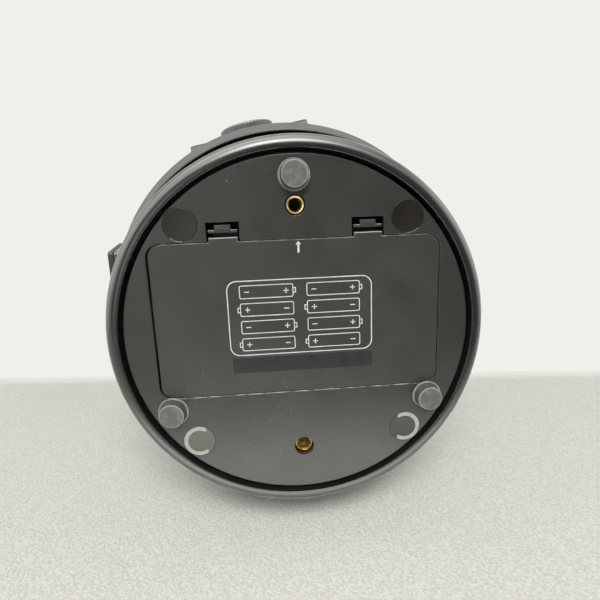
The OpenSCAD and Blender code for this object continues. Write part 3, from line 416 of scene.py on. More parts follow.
@dataclass(frozen=True)
class Mirror:
    """Aluminised glass, with a trace of dust."""

    name: str
    colour: Colour = (0.9, 0.91, 0.92)

    def make(self) -> bpy.types.Material:
        """Builds the material.

        Returns:
            The new material.
        """
        t = Tree(self.name)
        t.put(t.shader.inputs["Roughness"], t.span(t.noise(80, 5), 0.4, 0.75, 0.02, 0.08))
        t.shader.inputs["Base Color"].default_value = rgba(self.colour)
        t.shader.inputs["Metallic"].default_value = 1.0
        return t.material


@dataclass(frozen=True)
class Lamp:
    """Clear red lamp plastic."""

    name: str
    colour: Colour = (0.55, 0.02, 0.015)

    def make(self) -> bpy.types.Material:
        """Builds the material.

        Returns:
            The new material.
        """
        t = Tree(self.name)
        tone = t.mix(t.noise(800, 2), rgba(self.colour), lifted(self.colour, 0.1))
        t.put(t.shader.inputs["Base Color"], tone)
        t.shader.inputs["Roughness"].default_value = 0.12
        t.shader.inputs["Transmission Weight"].default_value = 0.3
        return t.material


Finish = MouldedPlastic | Rubber | Metal | Paint | Ink | Glass | Mirror | Lamp

BLACK_SHELL = MouldedPlastic("black_shell", (0.013, 0.0132, 0.0135), rough=0.26, grain_mm=0.5,
                             grain_depth=0.004, dust=0.7, coat=Coat.GLOSS)
SKIRT_PLASTIC = MouldedPlastic("skirt_plastic", (0.05, 0.0505, 0.052), rough=0.44, grain_mm=0.45,
                               grain_depth=0.008)
PLATE_PLASTIC = MouldedPlastic("plate_plastic", (0.0345, 0.0342, 0.0322), rough=0.34, grain_mm=0.4,
                               grain_depth=0.01, dust=0.8, scratches=0.1)
PLUG_PLASTIC = MouldedPlastic("plug_plastic", (0.028, 0.0245, 0.0235), rough=0.34, grain_mm=0.5,
                              grain_depth=0.008, dust=0.6)
# Darker and lighter copies of the plug plastic: painted shade on the upper plugs, painted sheen on the lower
# left one
PLUG_PAINTED_SHADE = MouldedPlastic("plug_painted_shade", (0.012, 0.0085, 0.008), rough=0.34, grain_mm=0.5,
                           grain_depth=0.008, dust=0.5)
PLUG_PAINTED_SHEEN = MouldedPlastic("plug_painted_sheen", (0.088, 0.087, 0.077), rough=0.36, grain_mm=0.5,
                           grain_depth=0.008, dust=0.9)
BLACK_PLASTIC = MouldedPlastic("black_plastic", (0.018, 0.0185, 0.0195), rough=0.42, grain_mm=0.4,
                               grain_depth=0.012, dust=0.15)
# Near-black flat plastic: the sockets' and jack's own colour, and painted shade where it lines the recesses
# around the inserts, the bores' floors and the latch wells
SOCKET_BLACK_AND_SHADE = MouldedPlastic("socket_black_and_shade", (0.008, 0.008, 0.009), rough=0.5, grain_mm=0.4,
                                grain_depth=0.01, coat=Coat.FLAT)
LID_PLASTIC = MouldedPlastic("lid_plastic", (0.036, 0.036, 0.0347), rough=0.42, grain_mm=0.4,
                             grain_depth=0.01, dust=0.8, scratches=0.08)
PANEL_PLASTIC = MouldedPlastic("panel_plastic", (0.03, 0.0305, 0.031), rough=0.5, grain_mm=0.5,
                               grain_depth=0.008)
GRIP_PLASTIC = MouldedPlastic("grip_plastic", (0.09, 0.091, 0.092), rough=0.16, grain_mm=0.5,
                              grain_depth=0.004, dust=0.2, coat=Coat.GLOSS)
KNOB_PLASTIC = MouldedPlastic("knob_plastic", (0.026, 0.0262, 0.0265), rough=0.32, grain_mm=0.5,
                              grain_depth=0.008, dust=0.2, coat=Coat.GLOSS)
GREY_RUBBER = Rubber("grey_rubber", (0.12, 0.12, 0.117), dust=0.35)
FOOT_FACE = Rubber("foot_face", (0.118, 0.118, 0.111), dust=0.4)
# The foot's rubber in three tones: face, a lighter rim as painted highlight, a darker side as painted shade
FOOT_EDGE_HIGHLIGHT = Rubber("foot_edge", (0.3, 0.3, 0.285), dust=0.4)
FOOT_SIDE_SHADE = Rubber("foot_side_shade", (0.085, 0.085, 0.082), dust=0.3)
# Pale finish: dust together with a painted highlight on the feet's recess lips, only a painted highlight on
# plug and lid edges
LIP_DUST_AND_HIGHLIGHT = Rubber("lip_dust_and_highlight", (0.42, 0.42, 0.4), dust=0.6)
BLACK_RUBBER = Rubber("black_rubber", (0.016, 0.016, 0.016), dust=0.1)
BRASS = Metal("insert_brass", (0.6, 0.45, 0.2), rough=0.26, brush=(1, 1, 30), tarnish=0.35)
# Lighter than the insert's brass: painted light on the thread deep in the bore
BRASS_THREAD_LIT = Metal("thread_brass_lit", (0.78, 0.63, 0.34), rough=0.3, brush=(1, 1, 30), tarnish=0.3)
CONTACT_GOLD = Metal("contact_gold", (0.75, 0.52, 0.18), rough=0.25)
BRONZE = Metal("bearing_bronze", (0.5, 0.36, 0.2), rough=0.4)
STEEL = Metal("plated_steel", (0.52, 0.53, 0.55), rough=0.3)
ALUMINIUM = Metal("machined_aluminium", (0.62, 0.63, 0.64), rough=0.32)
DIAL_SILVER = Paint("dial_silver", (0.5, 0.505, 0.495), rough=0.42, metallic=0.25, texture_mm=0.2,
                    depth=0.004)
CELL_JACKET = Paint("cell_jacket", (0.08, 0.085, 0.09), rough=0.3, metallic=0.2)
BLACK_PAINT = Paint("black_paint", (0.015, 0.0155, 0.0165), rough=0.4, metallic=0.0, texture_mm=0.3,
                    depth=0.02)
TUBE_BLUE = Paint("tube_blue", (0.022, 0.026, 0.11), rough=0.26, metallic=0.55, texture_mm=0.2,
                  depth=0.004, coat=0.4)
FLAT_BLACK = MouldedPlastic("flat_black", (0.006, 0.006, 0.006), rough=0.85, grain_mm=0.3,
                            grain_depth=0.02, coat=Coat.FLAT)
BOARD_GREEN = MouldedPlastic("board_green", (0.015, 0.11, 0.05), rough=0.3, grain_mm=0.6,
                             grain_depth=0.02)
IVORY = MouldedPlastic("ivory_acetal", (0.6, 0.57, 0.49), rough=0.4, grain_mm=0.5, grain_depth=0.01)
GLASS = Glass("coated_glass")
LENS_BLOOM = Paint("lens_bloom", (0.01, 0.008, 0.03), rough=0.06, metallic=0.0, texture_mm=0.6,
                   depth=0.0005, coat=0.8)
MIRROR = Mirror("mirror_coat")
RED_LAMP = Lamp("red_lamp")
# Pale patches on an upward-facing edge bevel: a painted highlight of light from above
PAINTED_LEDGE_HIGHLIGHT = Ink("painted_ledge_highlight", (0.045, 0.045, 0.043), under=(0.33, 0.33, 0.31), wear=0.9, patch=250,
                 worn=(0.42, 0.58))
DARK_INK = Ink("dark_ink", (0.012, 0.012, 0.013), under=(0.3, 0.3, 0.3), wear=0.2)
WHITE_INK = Ink("white_ink", (0.8, 0.8, 0.78), under=(0.06, 0.06, 0.06))
STRIP_BLACK = Ink("strip_black", (0.008, 0.008, 0.009), under=(0.03, 0.03, 0.03), wear=0.5)

NODE_FINISH: dict[str, Finish] = {
    "base_shell": BLACK_SHELL, "bottom_plate": PLATE_PLASTIC, "rubber_feet": GREY_RUBBER,
    "tripod_inserts": BRASS, "screw_plugs": PLUG_PLASTIC, "plate_screws": STEEL,
    "battery_tray": BLACK_PLASTIC, "batteries": CELL_JACKET, "battery_contacts": STEEL,
    "battery_cover": PLATE_PLASTIC, "control_panel": BLACK_PLASTIC, "data_sockets": SOCKET_BLACK_AND_SHADE,
    "power_jack": SOCKET_BLACK_AND_SHADE, "power_light": RED_LAMP, "power_switch": BLACK_PLASTIC,
    "panel_screws": STEEL, "circuit_board": BOARD_GREEN, "azimuth_bushing": BRONZE,
    "azimuth_wheel": IVORY, "azimuth_worm": STEEL, "azimuth_motor": STEEL,
    "azimuth_circle": DIAL_SILVER, "turntable": SKIRT_PLASTIC, "azimuth_shaft": ALUMINIUM,
    "shaft_nut": STEEL, "right_fork_arm": BLACK_PLASTIC, "left_fork_arm": BLACK_PLASTIC,
    "arm_covers": BLACK_PLASTIC, "arm_screws": STEEL, "altitude_bushings": BRONZE,
    "altitude_wheel": IVORY, "altitude_worm": STEEL, "altitude_motor": STEEL,
    "azimuth_lock_lever": BLACK_PLASTIC, "altitude_lock_knob": BLACK_PLASTIC,
    "tube_adapters": BLACK_PAINT, "adapter_screws": STEEL, "main_tube": TUBE_BLUE,
    "rear_cell": BLACK_PAINT, "front_cell": BLACK_PAINT, "corrector_lens": GLASS,
    "secondary_mirror": MIRROR, "secondary_baffle": FLAT_BLACK, "primary_baffle": FLAT_BLACK,
    "primary_mirror": MIRROR, "mirror_carriage": ALUMINIUM, "focus_knob": BLACK_PAINT,
    "flip_mirror": MIRROR, "flip_knob": BLACK_PAINT, "eyepiece_holder": BLACK_PAINT,
    "eyepiece": BLACK_PAINT, "eyepiece_screw": STEEL, "photo_port": BLACK_PAINT,
    "photo_port_cap": BLACK_PLASTIC, "finder_bracket": BLACK_PAINT, "finder_tube": BLACK_PAINT,
    "finder_lenses": GLASS, "finder_screws": STEEL, "declination_circle": DIAL_SILVER,
}


class Wardrobe:
    """Makes each finish's material once."""

    made: dict[str, bpy.types.Material] = {}

    @classmethod
    def of(cls, finish: Finish) -> bpy.types.Material:
        """The material of a finish.

        Args:
            finish: One of the finish dataclasses.

        Returns:
            Its material.
        """
        if finish.name not in cls.made:
            cls.made[finish.name] = finish.make()
        return cls.made[finish.name]

    @classmethod
    def dress_nodes(cls) -> None:
        """Gives every CAD node its finish."""
        for name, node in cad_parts.items():
            node.data.materials.clear()
            node.data.materials.append(cls.of(NODE_FINISH[name]))


# Shapes


def circle(x: float, y: float, r: float, count: int) -> Loop:
    """A round loop of points."""
    turns = [math.tau * i / count for i in range(count)]
    return [(x + r * math.cos(a), y + r * math.sin(a)) for a in turns]


def arc(x: float, y: float, r: float, start: float, end: float, count: int) -> Loop:
    """Points of an arc.

    Args:
        x: Centre.
        y: Centre.
        r: Radius.
        start: First angle in degrees.
        end: Last angle in degrees.
        count: Number of steps.

    Returns:
        The points, both ends included.
    """
    turns = [math.radians(start + (end - start) * i / count) for i in range(count + 1)]
    return [(x + r * math.cos(a), y + r * math.sin(a)) for a in turns]


def rounded(corners: Sequence[Corner], steps: int = 5, closed: bool = True) -> Loop:
    """Rounds the corners of an outline.

    Args:
        corners: Points with the radius of each.
        steps: Steps of each round.
        closed: True where the last point joins the first.

    Returns:
        The rounded outline.
    """
    out: Loop = []
    count = len(corners)
    straight, most = math.radians(89.5), 0.48
    for i, (x, y, r) in enumerate(corners):
        here = Vector((x, y))
        if r <= 0 or (not closed and i in (0, count - 1)):
            out.append((x, y))
            continue
        before = Vector(corners[i - 1][:2]) - here
        after = Vector(corners[(i + 1) % count][:2]) - here
        half = before.angle(after) / 2
        if half > straight:
            out.append((x, y))
            continue
        reach = min(r / math.tan(half), before.length * most, after.length * most)
        r = reach * math.tan(half)
        middle = here + (before.normalized() + after.normalized()).normalized() * (r / math.sin(half))
        first = here + before.normalized() * reach - middle
        last = here + after.normalized() * reach - middle
        sweep = math.atan2(first.x * last.y - first.y * last.x, first.dot(last))
        for k in range(steps + 1):
            turn = Matrix.Rotation(sweep * k / steps, 2)
            out.append(tuple(middle + turn @ first))
    return out


def box_loop(x0: float, x1: float, y0: float, y1: float, r: float, steps: int = 5) -> Loop:
    """A rectangle with rounded corners."""
    return rounded([(x0, y0, r), (x1, y0, r), (x1, y1, r), (x0, y1, r)], steps)


def shrunk(loop: Loop, by: float) -> Loop:
    """Moves a loop towards its inside.

    Args:
        loop: A closed loop in either direction.
        by: Distance, negative to grow it.

    Returns:
        The new loop, point for point.
    """
    area = sum(a[0] * b[1] - a[1] * b[0] for a, b in zip(loop, loop[1:] + loop[:1]))
    side = 1.0 if area > 0 else -1.0
    out: Loop = []
    for i, point in enumerate(loop):
        before = (Vector(point) - Vector(loop[i - 1])).normalized()
        after = (Vector(loop[(i + 1) % len(loop)]) - Vector(point)).normalized()
        a = Vector((-before.y, before.x)) * side
        b = Vector((-after.y, after.x)) * side
        move = (a + b) / max(0.3, 1 + a.dot(b))
        out.append((point[0] + move.x * by, point[1] + move.y * by))
    return out


def inside(loop: Loop, spot: Vector) -> bool:
    """Tells whether a point lies within a loop.

    Args:
        loop: A closed loop.
        spot: The point.

    Returns:
        True where it does.
    """
    hit = False
    for (ax, ay), (bx, by) in zip(loop, loop[1:] + loop[:1]):
        if (ay > spot.y) != (by > spot.y) and spot.x < ax + (bx - ax) * (spot.y - ay) / (by - ay):
            hit = not hit
    return hit


class Way(Enum):
    """Directions that a shape's own Z axis can take in the fork's frame."""

    UP = Matrix()
    ACROSS = Matrix.Rotation(math.radians(90), 4, "Y")
    SIDE = Matrix.Rotation(math.radians(-90), 4, "X")
    OTHER_SIDE = Matrix.Rotation(math.radians(90), 4, "X")


def on_fork(x: float = 0, y: float = 0, z: float = 0, way: Way = Way.UP, turn: float = 0) -> Matrix:
    """A place on the turned fork.

    Args:
        x: Fork coordinate, in millimetres.
        y: Fork coordinate.
        z: Height.
        way: Direction of the shape's own Z axis.
        turn: Further turn about Z before the shift, in degrees.

    Returns:
        The matrix from the shape's own frame to the part's.
    """
    swing = Matrix.Rotation(FORK_TURN + math.radians(turn), 4, "Z")
    return swing @ Matrix.Translation((x, y, z)) @ way.value


@dataclass
class Hole:
    """A hole in a plate, with a rounded mouth. Its depth is None where it goes through."""

    loop: Loop
    edge: float
    depth: float | None = None


class Build:
    """Collects the points and faces of one piece, in millimetres."""

    def __init__(self, place: Matrix | None = None) -> None:
        """Starts an empty piece.

        Args:
            place: Matrix from the shape's own frame to the part's frame.
        """
        self.place = place or Matrix()
        self.points: list[Vector] = []
        self.faces: list[tuple[int, ...]] = []
        self.tags: list[int] = []

    def ring(self, points: Iterable[Sequence[float]]) -> list[int]:
        """Adds points.

        Args:
            points: Points in the shape's own frame.

        Returns:
            Their numbers.
        """
        start = len(self.points)
        self.points.extend(self.place @ Vector(p) for p in points)
        return list(range(start, len(self.points)))

    def level(self, loop: Loop, z: float) -> list[int]:
        """Adds a flat loop at a height and returns its numbers."""
        return self.ring((x, y, z) for x, y in loop)

    def face(self, numbers: Iterable[int], tag: int = 0) -> None:
        """Adds one face, if it has three corners or more.

        Args:
            numbers: Its corners in order; one that comes twice counts once.
            tag: Material number.
        """
        corners = tuple(dict.fromkeys(numbers))
        if len(corners) > 2:
            self.faces.append(corners)
            self.tags.append(tag)

    def skin(self, rings: Sequence[list[int]], tags: Sequence[int] | int = 0, closed: bool = True) -> None:
        """Joins rings of equal length with quads.

        Args:
            rings: The rings in order.
            tags: Material number of each band, or one for all.
            closed: False where the rings are open lines.
        """
        for k, (a, b) in enumerate(zip(rings, rings[1:])):
            tag = tags if isinstance(tags, int) else tags[k]
            for i in range(len(a) if closed else len(a) - 1):
                j = (i + 1) % len(a)
                self.face((a[i], a[j], b[j], b[i]), tag)

    def lathe(self, profile: Loop, count: int, tags: Sequence[int] | int = 0, wrap: bool = False) -> "Build":
        """Turns a profile of radius and height about the shape's Z axis.

        Args:
            profile: Points of radius and height.
            count: Steps around.
            tags: Material number of each band, or one for all.
            wrap: True where the last point joins the first.

        Returns:
            This piece.
        """
        rings = []
        for r, z in profile:
            if r < TINY:
                rings.append(self.ring([(0, 0, z)]) * count)
            else:
                rings.append(self.level(circle(0, 0, r, count), z))
        self.skin(rings + rings[:1] if wrap else rings, tags)
        return self

    def fill(self, rings: Sequence[list[int]]) -> None:
        """Fills a flat outline that has holes.

        Args:
            rings: The outer ring and then those of the holes.
        """
        back = self.place.inverted()
        flat = [[back @ self.points[n] for n in ring] for ring in rings]
        loops = [[(p.x, p.y) for p in ring] for ring in flat]
        numbers = [n for ring in rings for n in ring]
        ends, start = [], 0
        for ring in rings:
            ends += [(start + k, start + (k + 1) % len(ring)) for k in range(len(ring))]
            start += len(ring)
        spots = [Vector(p) for loop in loops for p in loop]
        found, _, faces, origin, _, _ = delaunay_2d_cdt(spots, ends, [], 0, TINY)
        height = flat[0][0].z
        points = [numbers[o[0]] if o else self.level([tuple(p)], height)[0]
                  for p, o in zip(found, origin)]
        for face in faces:
            middle = sum((found[k] for k in face), Vector((0, 0))) / len(face)
            if inside(loops[0], middle) and not any(inside(loop, middle) for loop in loops[1:]):
                self.face([points[k] for k in face])

    def plate(self, outline: Loop, low: float, high: float, edge: float, back_edge: float,
              holes: Sequence[Hole] = ()) -> "Build":
        """Adds a plate with rounded edges.

        Args:
            outline: Its outline.
            low: Height of its face.
            high: Height of its back.
            edge: Rounding of the edge of the face.
            back_edge: Rounding of the edge of the back.
            holes: Its holes.

        Returns:
            This piece.
        """
        quarter = [math.pi / 2 * k / EDGE_STEPS for k in range(EDGE_STEPS + 1)]
        rings = [self.level(shrunk(outline, edge * (1 - math.sin(a))), low + edge * (1 - math.cos(a)))
                 for a in quarter]
        rings += [self.level(shrunk(outline, back_edge * (1 - math.cos(a))),
                             high - back_edge * (1 - math.sin(a))) for a in quarter]
        self.skin(rings)
        face, back = [rings[0]], [rings[-1]]
        for hole in holes:
            e = hole.edge
            inner = [self.level(shrunk(hole.loop, -e * (1 - math.sin(a))), low + e * (1 - math.cos(a)))
                     for a in quarter]
            inner.append(self.level(hole.loop, high if hole.depth is None else low + hole.depth))
            self.skin(inner)
            face.append(inner[0])
            if hole.depth is None:
                back.append(inner[-1])
            else:
                self.face(inner[-1])
        self.fill(face)
        self.fill(back)
        return self

    def block(self, x: Point, y: Point, z: Point, r: float) -> "Build":
        """Adds a block with rounded edges.

        Args:
            x: Its ends along X.
            y: Its ends along Y.
            z: Its ends along Z.
            r: Rounding of its edges.

        Returns:
            This piece.
        """
        return self.plate(box_loop(*x, *y, r, EDGE_STEPS), *z, r, r)

    def fluted(self, r: float, flutes: int, cut: float, profile: Loop, tag: int = 0) -> "Build":
        """Adds a knob with rounded flutes.

        Args:
            r: Outside radius.
            flutes: Number of flutes.
            cut: Radius of a flute.
            profile: Inset from the outside and height, from one end to the other.
            tag: Material number.

        Returns:
            This piece.
        """
        spread = (-0.5, -0.36, -0.25, -0.17, -0.08, 0, 0.08, 0.17, 0.25, 0.36)
        lift = 0.45
        far = r + cut * lift
        rings = []
        for inset, z in profile:
            loop: Loop = []
            for i in range(flutes):
                for s in spread:
                    off = s * math.tau / flutes
                    under = cut * cut - (far * math.sin(off)) ** 2
                    deep = far * math.cos(off) - math.sqrt(under) if under > 0 else r
                    reach = max(0.0, min(r, deep, r - inset))
                    a = math.tau * i / flutes + off
                    loop.append((reach * math.cos(a), reach * math.sin(a)))
            rings.append(self.ring([(0, 0, z)]) * len(loop) if inset >= r else self.level(loop, z))
        self.skin(rings, tag)
        return self

    def stroke(self, line: Loop, width: float, z: float, closed: bool = False) -> "Build":
        """Draws a flat line of even width.

        Args:
            line: Its points.
            width: Its width.
            z: Its height.
            closed: True where the last point joins the first.

        Returns:
            This piece.
        """
        sharpest = 0.35
        sides: tuple[Loop, Loop] = ([], [])
        count = len(line)
        for i, point in enumerate(line):
            here = Vector(point)
            before = here - Vector(line[i - 1]) if closed or i else Vector(line[1]) - here
            after = Vector(line[(i + 1) % count]) - here if closed or i < count - 1 else before
            before, after = before.normalized(), after.normalized()
            a, b = Vector((-before.y, before.x)), Vector((-after.y, after.x))
            move = (a + b) / max(sharpest, 1 + a.dot(b)) * (width / 2)
            sides[0].append(tuple(here + move))
            sides[1].append(tuple(here - move))
        self.skin([self.level(sides[0], z), self.level(sides[1], z)], closed=closed)
        return self

    def digits(self, text: str, x: float, y: float, height: float, width: float, z: float,
               turn: float = 0) -> "Build":
        """Draws plain figures or letters from strokes, centred on a point.

        Args:
            text: Characters that STROKES has.
            x: Centre.
            y: Centre.
            height: Height of a character.
            width: Width of a line.
            z: Height above the plane.
            turn: Turn of the whole in degrees.

        Returns:
            This piece.
        """
        unit = height / 4
        start = -(len(text) * 3 - 1) * unit / 2
        swing = Matrix.Rotation(math.radians(turn), 2)
        for n, mark in enumerate(text):
            for line in STROKES[mark]:
                placed = [swing @ Vector((start + n * 3 * unit + u * unit, (v - 2) * unit)) for u, v in line]
                self.stroke([(x + p.x, y + p.y) for p in placed], width, z)
        return self

    def carve(self, cutter: "Build") -> "Build":
        """Cuts another closed shape away from this one.

        Args:
            cutter: The shape to take away.

        Returns:
            This piece, rebuilt.
        """
        mine, other = self.raw("carved"), cutter.raw("cutter")
        cut = mine.modifiers.new("cut", "BOOLEAN")
        cut.operation, cut.solver, cut.object = "DIFFERENCE", "EXACT", other
        graph = bpy.context.evaluated_depsgraph_get()
        made = bpy.data.meshes.new_from_object(mine.evaluated_get(graph))
        self.points = [v.co / MM for v in made.vertices]
        self.faces = [tuple(p.vertices) for p in made.polygons]
        self.tags = [p.material_index for p in made.polygons]
        for obj in (mine, other):
            bpy.data.objects.remove(obj)
        return self

    def raw(self, name: str) -> bpy.types.Object:
        """Makes a plain object with outward faces.

        Args:
            name: The object's name.

        Returns:
            The object.
        """
        mesh = bpy.data.meshes.new(name)
        mesh.from_pydata([p * MM for p in self.points], [], self.faces)
        mesh.polygons.foreach_set("material_index", self.tags)
        work = bmesh.new()
        work.from_mesh(mesh)
        bmesh.ops.remove_doubles(work, verts=work.verts, dist=WELD)
        bmesh.ops.recalc_face_normals(work, faces=work.faces)
        work.to_mesh(mesh)
        work.free()
        obj = bpy.data.objects.new(name, mesh)
        bpy.context.scene.collection.objects.link(obj)
        return obj

    def piece(self, name: str, finishes: Sequence[Finish], body: str, slot: str, *nodes: str,
              crease: float = 32.0) -> bpy.types.Object:
        """Makes the finished piece and puts it on its body.

        Args:
            name: The piece's name.
            finishes: A finish for each material number.
            body: The body that it moves with.
            slot: Not used.
            nodes: CAD nodes that it stands for.
            crease: Angle in degrees above which an edge stays sharp.

        Returns:
            The object.
        """
        obj = self.raw(name)
        obj.data.shade_smooth()
        obj.data.set_sharp_from_angle(angle=math.radians(crease))
        even = obj.modifiers.new("even_normals", "WEIGHTED_NORMAL")
        even.keep_sharp = True
        for finish in finishes:
            obj.data.materials.append(Wardrobe.of(finish))
        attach(obj, body)
        if nodes:
            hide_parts(*nodes)
        log.info("made %s with %d faces", name, len(obj.data.polygons))
        return obj


STROKES: dict[str, list[Loop]] = {
    "0": [[(0, 0), (2, 0), (2, 4), (0, 4), (0, 0), (0.1, 0)]],
    "3": [[(0, 4), (2, 4), (2, 0), (0, 0)], [(0.4, 2), (2, 2)]],
    "6": [[(2, 4), (0, 4), (0, 0), (2, 0), (2, 2.2), (0, 2.2)]],
    "9": [[(0, 0), (2, 0), (2, 4), (0, 4), (0, 1.8), (2, 1.8)]],
    "O": [[(0, 0), (2, 0), (2, 4), (0, 4), (0, 0), (0.1, 0)]],
    "N": [[(0, 0), (0, 4), (2, 0), (2, 4)]],
    "F": [[(0, 0), (0, 4), (2, 4)], [(0, 2.1), (1.6, 2.1)]],
}


# Sub-assemblies


@dataclass
class BaseUnit:
    """The drum of the base with its underside: plate, feet, inserts, plugs and azimuth scale."""

    rim_r: float = 83.0
    rim_in: float = 76.9
    bead_r: float = 5.0
    bead_z: float = 7.8
    lip_r: float = 0.5
    gloss_z: float = 12.6
    neck_r: float = 87.2
    neck_z: Point = (44.0, 50.0)
    hub_r: float = 16.1
    plate_r: float = 75.1
    plate_z: float = 4.75
    plate_t: float = 2.5
    foot_r: float = 5.6
    foot_ring: float = 6.6
    foot_circle: float = 66.6
    insert_y: float = 54.625
    insert_r: float = 3.7
    insert_bore: float = 2.55
    insert_floor: float = 11.9
    thread_pitch: float = 1.27
    thread_depth: float = 0.32
    thread_start: float = 2.6
    thread_length: float = 9.3
    plug_r: float = 7.0
    plug_at: Point = (47.395, 48.3)
    panel_half: Point = (37.0, 40.5)
    panel_z: Point = (25.0, 43.5)
    panel_play: float = 0.1
    opening_x: Point = (-61.95, 62.55)
    opening_y: Point = (-27.05, 40.85)
    opening_r: float = 5.75
    latch_x: float = 30.4
    window_half: float = 6.8
    window_top: float = 48.7
    well_half: float = 7.4
    well_y: Point = (39.4, 50.0)
    # Start of the walls, and face and back of the floor
    well_z: tuple[float, float, float] = (7.3, 14.8, 15.6)
    scale_in: float = 87.25
    scale_r: float = 88.85
    scale_z: Point = (44.3, 49.9)
    # Band of Y where a pale painted highlight lies on the opening's lower edge bevel
    ledge: Point = (-27.6, -27.08)
    # Angles of the pale painted highlight on the edge of an upper plug, in degrees
    scuff: Point = (-92, -48)

    def feet(self) -> list[Point]:
        """Centres of the feet."""
        turns = [math.radians(a) for a in (90, 210, 330)]
        return [(self.foot_circle * math.cos(a), self.foot_circle * math.sin(a)) for a in turns]

    def plugs(self) -> list[Point]:
        """Centres of the plugs."""
        return [(sx * self.plug_at[0], sy * self.plug_at[1]) for sx in (-1, 1) for sy in (-1, 1)]

    def drum(self) -> None:
        """Turns the drum with its rounded rim, and cuts the pocket of the control panel."""
        centre = self.rim_r - self.bead_r
        bead = arc(centre, self.bead_z, self.bead_r, -96, 0, 28)
        neck, (shoulder, top) = self.neck_r, self.neck_z
        outer = [(84.0, 13.0, 2.0), (88.5, shoulder, 0.7), (neck, shoulder, 0.2), (neck, top, 0.4),
                 (self.hub_r, top, 0.3)]
        inner = [(self.hub_r, 47.0, 0), (84.2, 47.0, 1), (85.5, 41.0, 0), (80.0, 14.0, 0), (71.0, 14.0, 0),
                 (71.0, 7.3, 0), (73.0, 7.3, 0), (73.0, 12.0, 0.4), (self.rim_in, 12.0, 0.4)]
        lip_z = self.bead_z - math.sqrt(self.bead_r ** 2 - (centre - self.rim_in) ** 2)
        corners = [(self.rim_in, lip_z, self.lip_r)] + [(x, y, 0) for x, y in bead] + outer + inner
        drum = Build().lathe(rounded(corners, 4), 256, wrap=True)
        side = [(y, z) for y, z, _ in self.panel_shape(self.panel_play)]
        drum.carve(Build(FACING_X).plate(side, 82.5, 95.0, 0.01, 0.01))
        drum.tags = [int(min(drum.points[n].z for n in face) > self.gloss_z) for face in drum.faces]
        drum.piece("base_drum", [BLACK_SHELL, BLACK_PLASTIC], "base", "black_plastic", "base_shell",
                   crease=28)

    def panel_shape(self, play: float) -> list[Corner]:
        """Corners of the panel's block, wider at its top.

        Args:
            play: Distance outside the block.

        Returns:
            Place across, height and rounding of each corner.
        """
        (low, top), (start, end) = self.panel_half, self.panel_z
        sides = [(-low - play, start - play), (low + play, start - play), (top + play, end + play),
                 (-top - play, end + play)]
        return [(y, z, 2.2) for y, z in sides]

    def housing(self) -> None:
        """Builds the block behind the panel, whose ends stand out of the drum."""
        shape = rounded(self.panel_shape(0), 6)
        hollow = Hole(box_loop(-34, 34, 28, 40.5, 1), 0.2)
        block = Build(FACING_X).plate(shape, 72.0, 82.45, 0.3, 0.5, [hollow])
        block.piece("panel_housing", [BLACK_SHELL], "base", "black_plastic")

    def opening(self) -> Loop:
        """Outline of the plate's opening: the cover with its play, and the two latch windows.

        Returns:
            The loop.
        """
        (left, right), (low, top), r = self.opening_x, self.opening_y, self.opening_r
        loop = arc(left + r, low + r, r, 180, 270, 8) + arc(right - r, low + r, r, 270, 360, 8)
        loop += arc(right - r, top - r, r, 0, 90, 8)
        half, high = self.window_half, self.window_top
        for x in (self.latch_x, -self.latch_x):
            loop += [(x + half, top), (x + half, high), (x - half, high), (x - half, top)]
        return loop + arc(left + r, top - r, r, 90, 180, 8)

    def plate(self) -> None:
        """Builds the bottom plate with its recesses, and a pale painted highlight on the opening's lower
        edge.
        """
        face, back = self.plate_z, self.plate_z + self.plate_t
        holes = [Hole(self.opening(), 0.42)]
        holes += [Hole(circle(x, y, self.foot_ring, 72), 0.25, 0.8) for x, y in self.feet()]
        holes += [Hole(circle(x, y, self.plug_r + 0.1, 72), 0.12, 0.9) for x, y in self.plugs()]
        holes += [Hole(circle(0, s * self.insert_y, 4.35, 64), 0.25) for s in (-1, 1)]
        plate = Build().plate(circle(0, 0, self.plate_r, 256), face, back, 0.45, 0.2, holes)
        # Faces on the opening's lower edge bevel take the pale finish: a painted highlight
        near, far = self.ledge
        painted_lit = [all(near < plate.points[n].y < far for n in corners) for corners in plate.faces]
        plate.tags = [2 if lit_face else tag for tag, lit_face in zip(plate.tags, painted_lit)]
        for x, y in self.plugs():
            plate.place = Matrix.Translation((x, y, 0))
            plate.lathe([(0, 7.3), (8.4, 7.3), (8.4, 10.0), (0, 10.0)], 48)
        for y, floor in ((self.insert_y, 6.0), (-self.insert_y, 8.4)):
            plate.place = Matrix.Translation((0, y, 0))
            # The step around each insert in near-black flat plastic: painted shade in the recess
            plate.lathe([(6.5, 7.25), (4.36, 7.25), (4.36, floor), (3.72, floor), (3.72, 19.5), (6.5, 19.5),
                         (6.5, 7.25)], 64, 1)
        plate.piece("underside_plate", [PLATE_PLASTIC, SOCKET_BLACK_AND_SHADE, PAINTED_LEDGE_HIGHLIGHT], "base", "grey_plastic",
                    "bottom_plate")

    def wells(self) -> None:
        """Closes the two latch windows behind with near-black flat walls: painted shade in the windows."""
        walls = Build()
        start, end = self.well_y
        face, floor, back = self.well_z
        for x in (self.latch_x, -self.latch_x):
            wide = (x - self.well_half, x + self.well_half)
            walls.block(wide, (end - 1.0, end), (face, floor), 0.2)
            walls.block(wide, (start, end), (floor, back), 0.2)
            for s in (-1, 1):
                side = x + s * 7.1
                walls.block((side - 0.3, side + 0.3), (start, end - 0.8), (face, floor + 0.1), 0.1)
        walls.piece("latch_wells", [SOCKET_BLACK_AND_SHADE], "base", "grey_plastic")

